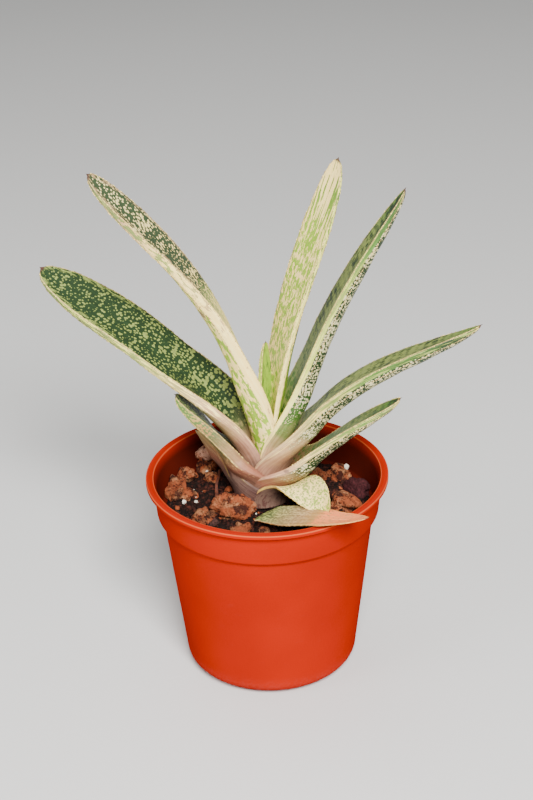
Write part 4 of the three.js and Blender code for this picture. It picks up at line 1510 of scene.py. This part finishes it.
def stick_mesh(level, finish):
    """A thin dry stick that lies on the soil, a little crooked and thinner at its far end."""
    stick = LITTER["stick"]
    sides, steps, path = stick["sides"], stick["steps"], stick["path"]
    points = []
    for i in range(steps + 1):
        t = i / steps
        along = t * (len(path) - 1)
        x, y, lift = (float(np.interp(along, range(len(path)), [p[k] for p in path])) for k in range(3))
        x += 0.25 * math.sin(9 * t)
        ends = min(1.0, 12 * min(t, 1 - t) + 0.45)
        radius = stick["thickness"] / 2 * ends * (0.7 + 0.4 * t)
        z = soil_height(level, x, y) + lift
        for j in range(sides):
            a = 2 * math.pi * j / sides
            knot = 1 + 0.25 * noise.noise(Vector((math.cos(a), math.sin(a) + y * 0.8, 2.0)))
            points.append((x + radius * knot * math.cos(a), y, z + radius * knot * math.sin(a)))
    rings = [range(i * sides, (i + 1) * sides) for i in range(steps + 1)]
    faces = ring_faces(rings) + [list(rings[0])[::-1], list(rings[-1])]
    return add_mesh("dry_stick", points, faces, finish)


def flake_mesh(level, finish):
    """A chip of bark that lies aslant on the soil."""
    flake = LITTER["flake"]
    x, y = flake["at"]
    z = soil_height(level, x, y) + flake["lift"]
    shape = bmesh.new()
    for lift in (0, flake["thickness"]):
        for aside, ahead in flake["corners"]:
            shape.verts.new(Vector((x + aside, y + ahead, z + lift + flake["slope"] * ahead)) * MM)
    bmesh.ops.convex_hull(shape, input=shape.verts)
    bmesh.ops.subdivide_edges(shape, edges=shape.edges, cuts=flake["cuts"], use_grid_fill=True)
    # Without a seed, noise_vector starts from the clock and the chip differs from run to run.
    noise.seed_set(flake["seed"])
    for vertex in shape.verts:
        vertex.co += noise.noise_vector(vertex.co / MM * 1.1) * 0.3 * MM
    bmesh.ops.recalc_face_normals(shape, faces=shape.faces)
    return cast("bark_flake", shape, finish)


def perlite_mesh(level, finish):
    """The larger perlite grains: lumps a little taller than wide."""
    grains = bmesh.new()
    for x, y, radius, lift in LITTER["perlite"]:
        z = soil_height(level, x, y) + lift
        ball = bmesh.ops.create_icosphere(grains, subdivisions=3, radius=1.0)["verts"]
        for vertex in ball:
            lump = 1 + 0.35 * noise.noise(vertex.co * 1.6 + Vector((x, y, 0)))
            vertex.co.z *= 1.25
            vertex.co = (vertex.co * lump * radius + Vector((x, y, z))) * MM
    return cast("perlite_lumps", grains, finish)


def perlite_finish(colours):
    material, sheet, place = new_finish("perlite grain")
    pores = sheet.cells(place, 3.0)
    tone = sheet.mix(pores.ease(0.1, 0.4), opaque(colours.perlite, 0.6), opaque(colours.perlite))
    close_finish(sheet, tone, 0.7 + pores * 0.2, sheet.bump(pores, 0.0002))
    return material


class GASTERIA_OT_litter(bpy.types.Operator):
    """Lays the bark flake, the larger perlite grains and the dry stick on the soil"""

    bl_idname = "gasteria.litter"
    bl_label = "Flake, perlite and stick"

    def execute(self, context):
        colours = context.scene.gasteria_colours
        level = context.scene.gasteria_sizes.soil_level / MM
        bark = bark_finish("bark flake", colours.soil, colours.plum)
        wood = bark_finish("dry stick wood", colours.plum, tinted(colours.lava, 0.6))
        settle(flake_mesh(level, bark), "bark")
        settle(perlite_mesh(level, perlite_finish(colours)), "stone")
        settle(stick_mesh(level, wood), "bark")
        return {"FINISHED"}


# The share of a leaf's rings where its beads start, and how many rings before the tip they end.
BEAD_START = 0.22
BEAD_END = 6
BARE_MARGINS = (*DRY_LEAVES, "leaf_drooping")


class GASTERIA_OT_beads(bpy.types.Operator):
    """Runs a row of fine pale beads along the margins of the living leaves"""

    bl_idname = "gasteria.beads"
    bl_label = "Margin beads"

    def execute(self, context):
        sizes = context.scene.gasteria_sizes
        colours = context.scene.gasteria_colours
        count = sum(steps for steps, _, _ in EDGES)
        points = []
        edges = []
        for name in LEAVES:
            if name in BARE_MARGINS:
                continue
            blade = bpy.data.objects[f"{name}_blade"].data
            rings = (len(blade.vertices) - 1) // count
            first = int(rings * BEAD_START)
            for column in MARGIN_COLUMNS:
                for i in range(first, rings - BEAD_END):
                    if i > first:
                        edges.append((len(points) - 1, len(points)))
                    points.append(tuple(blade.vertices[i * count + column].co))
        mesh = bpy.data.meshes.new("margin_lines")
        mesh.from_pydata(points, edges, [])
        lines = linked("margin_lines", mesh)
        tree, keys = bead_tree("beads")
        light = tinted(colours.cream, 0.9)
        dark = tinted(colours.beige, 0.55)
        beads = grown("margin_beads", lines, tree, keys, {
            "Spacing": sizes.bead_spacing, "Size": sizes.bead, "Seed": 2,
            "Material": shaded_finish("bead finish", dark, light, 0.5),
        })
        settle(beads, "leaf")
        return {"FINISHED"}


# ---- The stage -----------------------------------------------------------

# Each softbox's place and its size in metres, and its power in watts; they aim at the plant's middle.
SOFTBOXES = {
    "key_softbox": ((0.14, -0.8, 0.8), (0.42, 0.36), 38),
    "top_softbox": ((-0.2, 0.3, 1.0), (0.7, 0.7), 3),
    "fill_softbox": ((-0.8, -0.4, 0.45), (0.4, 0.6), 4),
}
AIM = (0, 0, 0.08)
FLOOR = {"reach": 3000, "level": -0.2}
WORLD = {"Color": (0.9, 0.92, 0.95, 1), "Strength": 0.17}
CAMERA = {
    "place": (0.0005, -0.5144, 0.367), "tilt": 62.3, "roll": -1.62, "lens": 81, "sensor": 36, "near": 0.01,
}


def softbox(name, place, size, watts):
    data = bpy.data.lights.new(name, "AREA")
    data.shape = "RECTANGLE"
    data.size, data.size_y = size
    data.energy = watts
    light = linked(name, data)
    light.location = place
    light.rotation_euler = (Vector(AIM) - Vector(place)).to_track_quat("-Z", "Y").to_euler()


class GASTERIA_OT_stage(bpy.types.Operator):
    """Sets the pale floor, the soft studio lights and the camera"""

    bl_idname = "gasteria.stage"
    bl_label = "Stage"

    def execute(self, context):
        colours = context.scene.gasteria_colours
        material, sheet, place = new_finish("pale floor paper")
        tooth = sheet.noise(place, 0.8, 3.0)
        tone = sheet.mix(tooth, opaque(colours.floor), opaque(colours.floor, 0.97))
        close_finish(sheet, tone, 0.7)
        reach, level = FLOOR["reach"], FLOOR["level"]
        corners = [(x * reach, y * reach, level) for x, y in ((-1, -1), (1, -1), (1, 1), (-1, 1))]
        floor = add_mesh("floor", corners, [(0, 1, 2, 3)], material, False)
        world = bpy.data.worlds.new("studio")
        world.use_nodes = True
        for key, value in WORLD.items():
            world.node_tree.nodes["Background"].inputs[key].default_value = value
        context.scene.world = world
        for name, (place, size, watts) in SOFTBOXES.items():
            softbox(name, place, size, watts)
        data = bpy.data.cameras.new("camera")
        data.lens = CAMERA["lens"]
        data.sensor_width = CAMERA["sensor"]
        data.clip_start = CAMERA["near"]
        camera = linked("camera", data)
        tilt = Matrix.Rotation(math.radians(CAMERA["tilt"]), 4, "X")
        roll = Matrix.Rotation(math.radians(CAMERA["roll"]), 4, "Z")
        camera.matrix_world = Matrix.Translation(CAMERA["place"]) @ (tilt @ roll)
        context.scene.camera = camera
        return {"FINISHED"}


# ---- Panel and registration ----------------------------------------------

OPERATORS = (
    GASTERIA_OT_stage, GASTERIA_OT_pot, GASTERIA_OT_soil, GASTERIA_OT_stones, GASTERIA_OT_stem,
    GASTERIA_OT_leaves, GASTERIA_OT_beads, GASTERIA_OT_crumbs, GASTERIA_OT_litter,
)


class GASTERIA_PT_pieces(bpy.types.Panel):
    """Lists the pieces of the plant with the sizes and colours that they use"""

    bl_idname = "GASTERIA_PT_pieces"
    bl_label = "Gasteria"
    bl_space_type = "VIEW_3D"
    bl_region_type = "UI"
    bl_category = "Gasteria"

    def draw(self, context):
        for group in (context.scene.gasteria_sizes, context.scene.gasteria_colours):
            column = self.layout.column()
            for key in group.__annotations__:
                column.prop(group, key)
        for operator in OPERATORS:
            self.layout.operator(operator.bl_idname)


CLASSES = (GasteriaSizes, GasteriaColours, *OPERATORS, GASTERIA_PT_pieces)


def register():
    for cls in CLASSES:
        bpy.utils.register_class(cls)
    bpy.types.Scene.gasteria_sizes = bpy.props.PointerProperty(type=GasteriaSizes)
    bpy.types.Scene.gasteria_colours = bpy.props.PointerProperty(type=GasteriaColours)


def unregister():
    del bpy.types.Scene.gasteria_colours
    del bpy.types.Scene.gasteria_sizes
    for cls in reversed(CLASSES):
        bpy.utils.unregister_class(cls)


def main():
    register()
    for operator in OPERATORS:
        group, name = operator.bl_idname.split(".")
        getattr(getattr(bpy.ops, group), name)()
    bpy.context.view_layer.update()


if __name__ == "__main__":
    main()
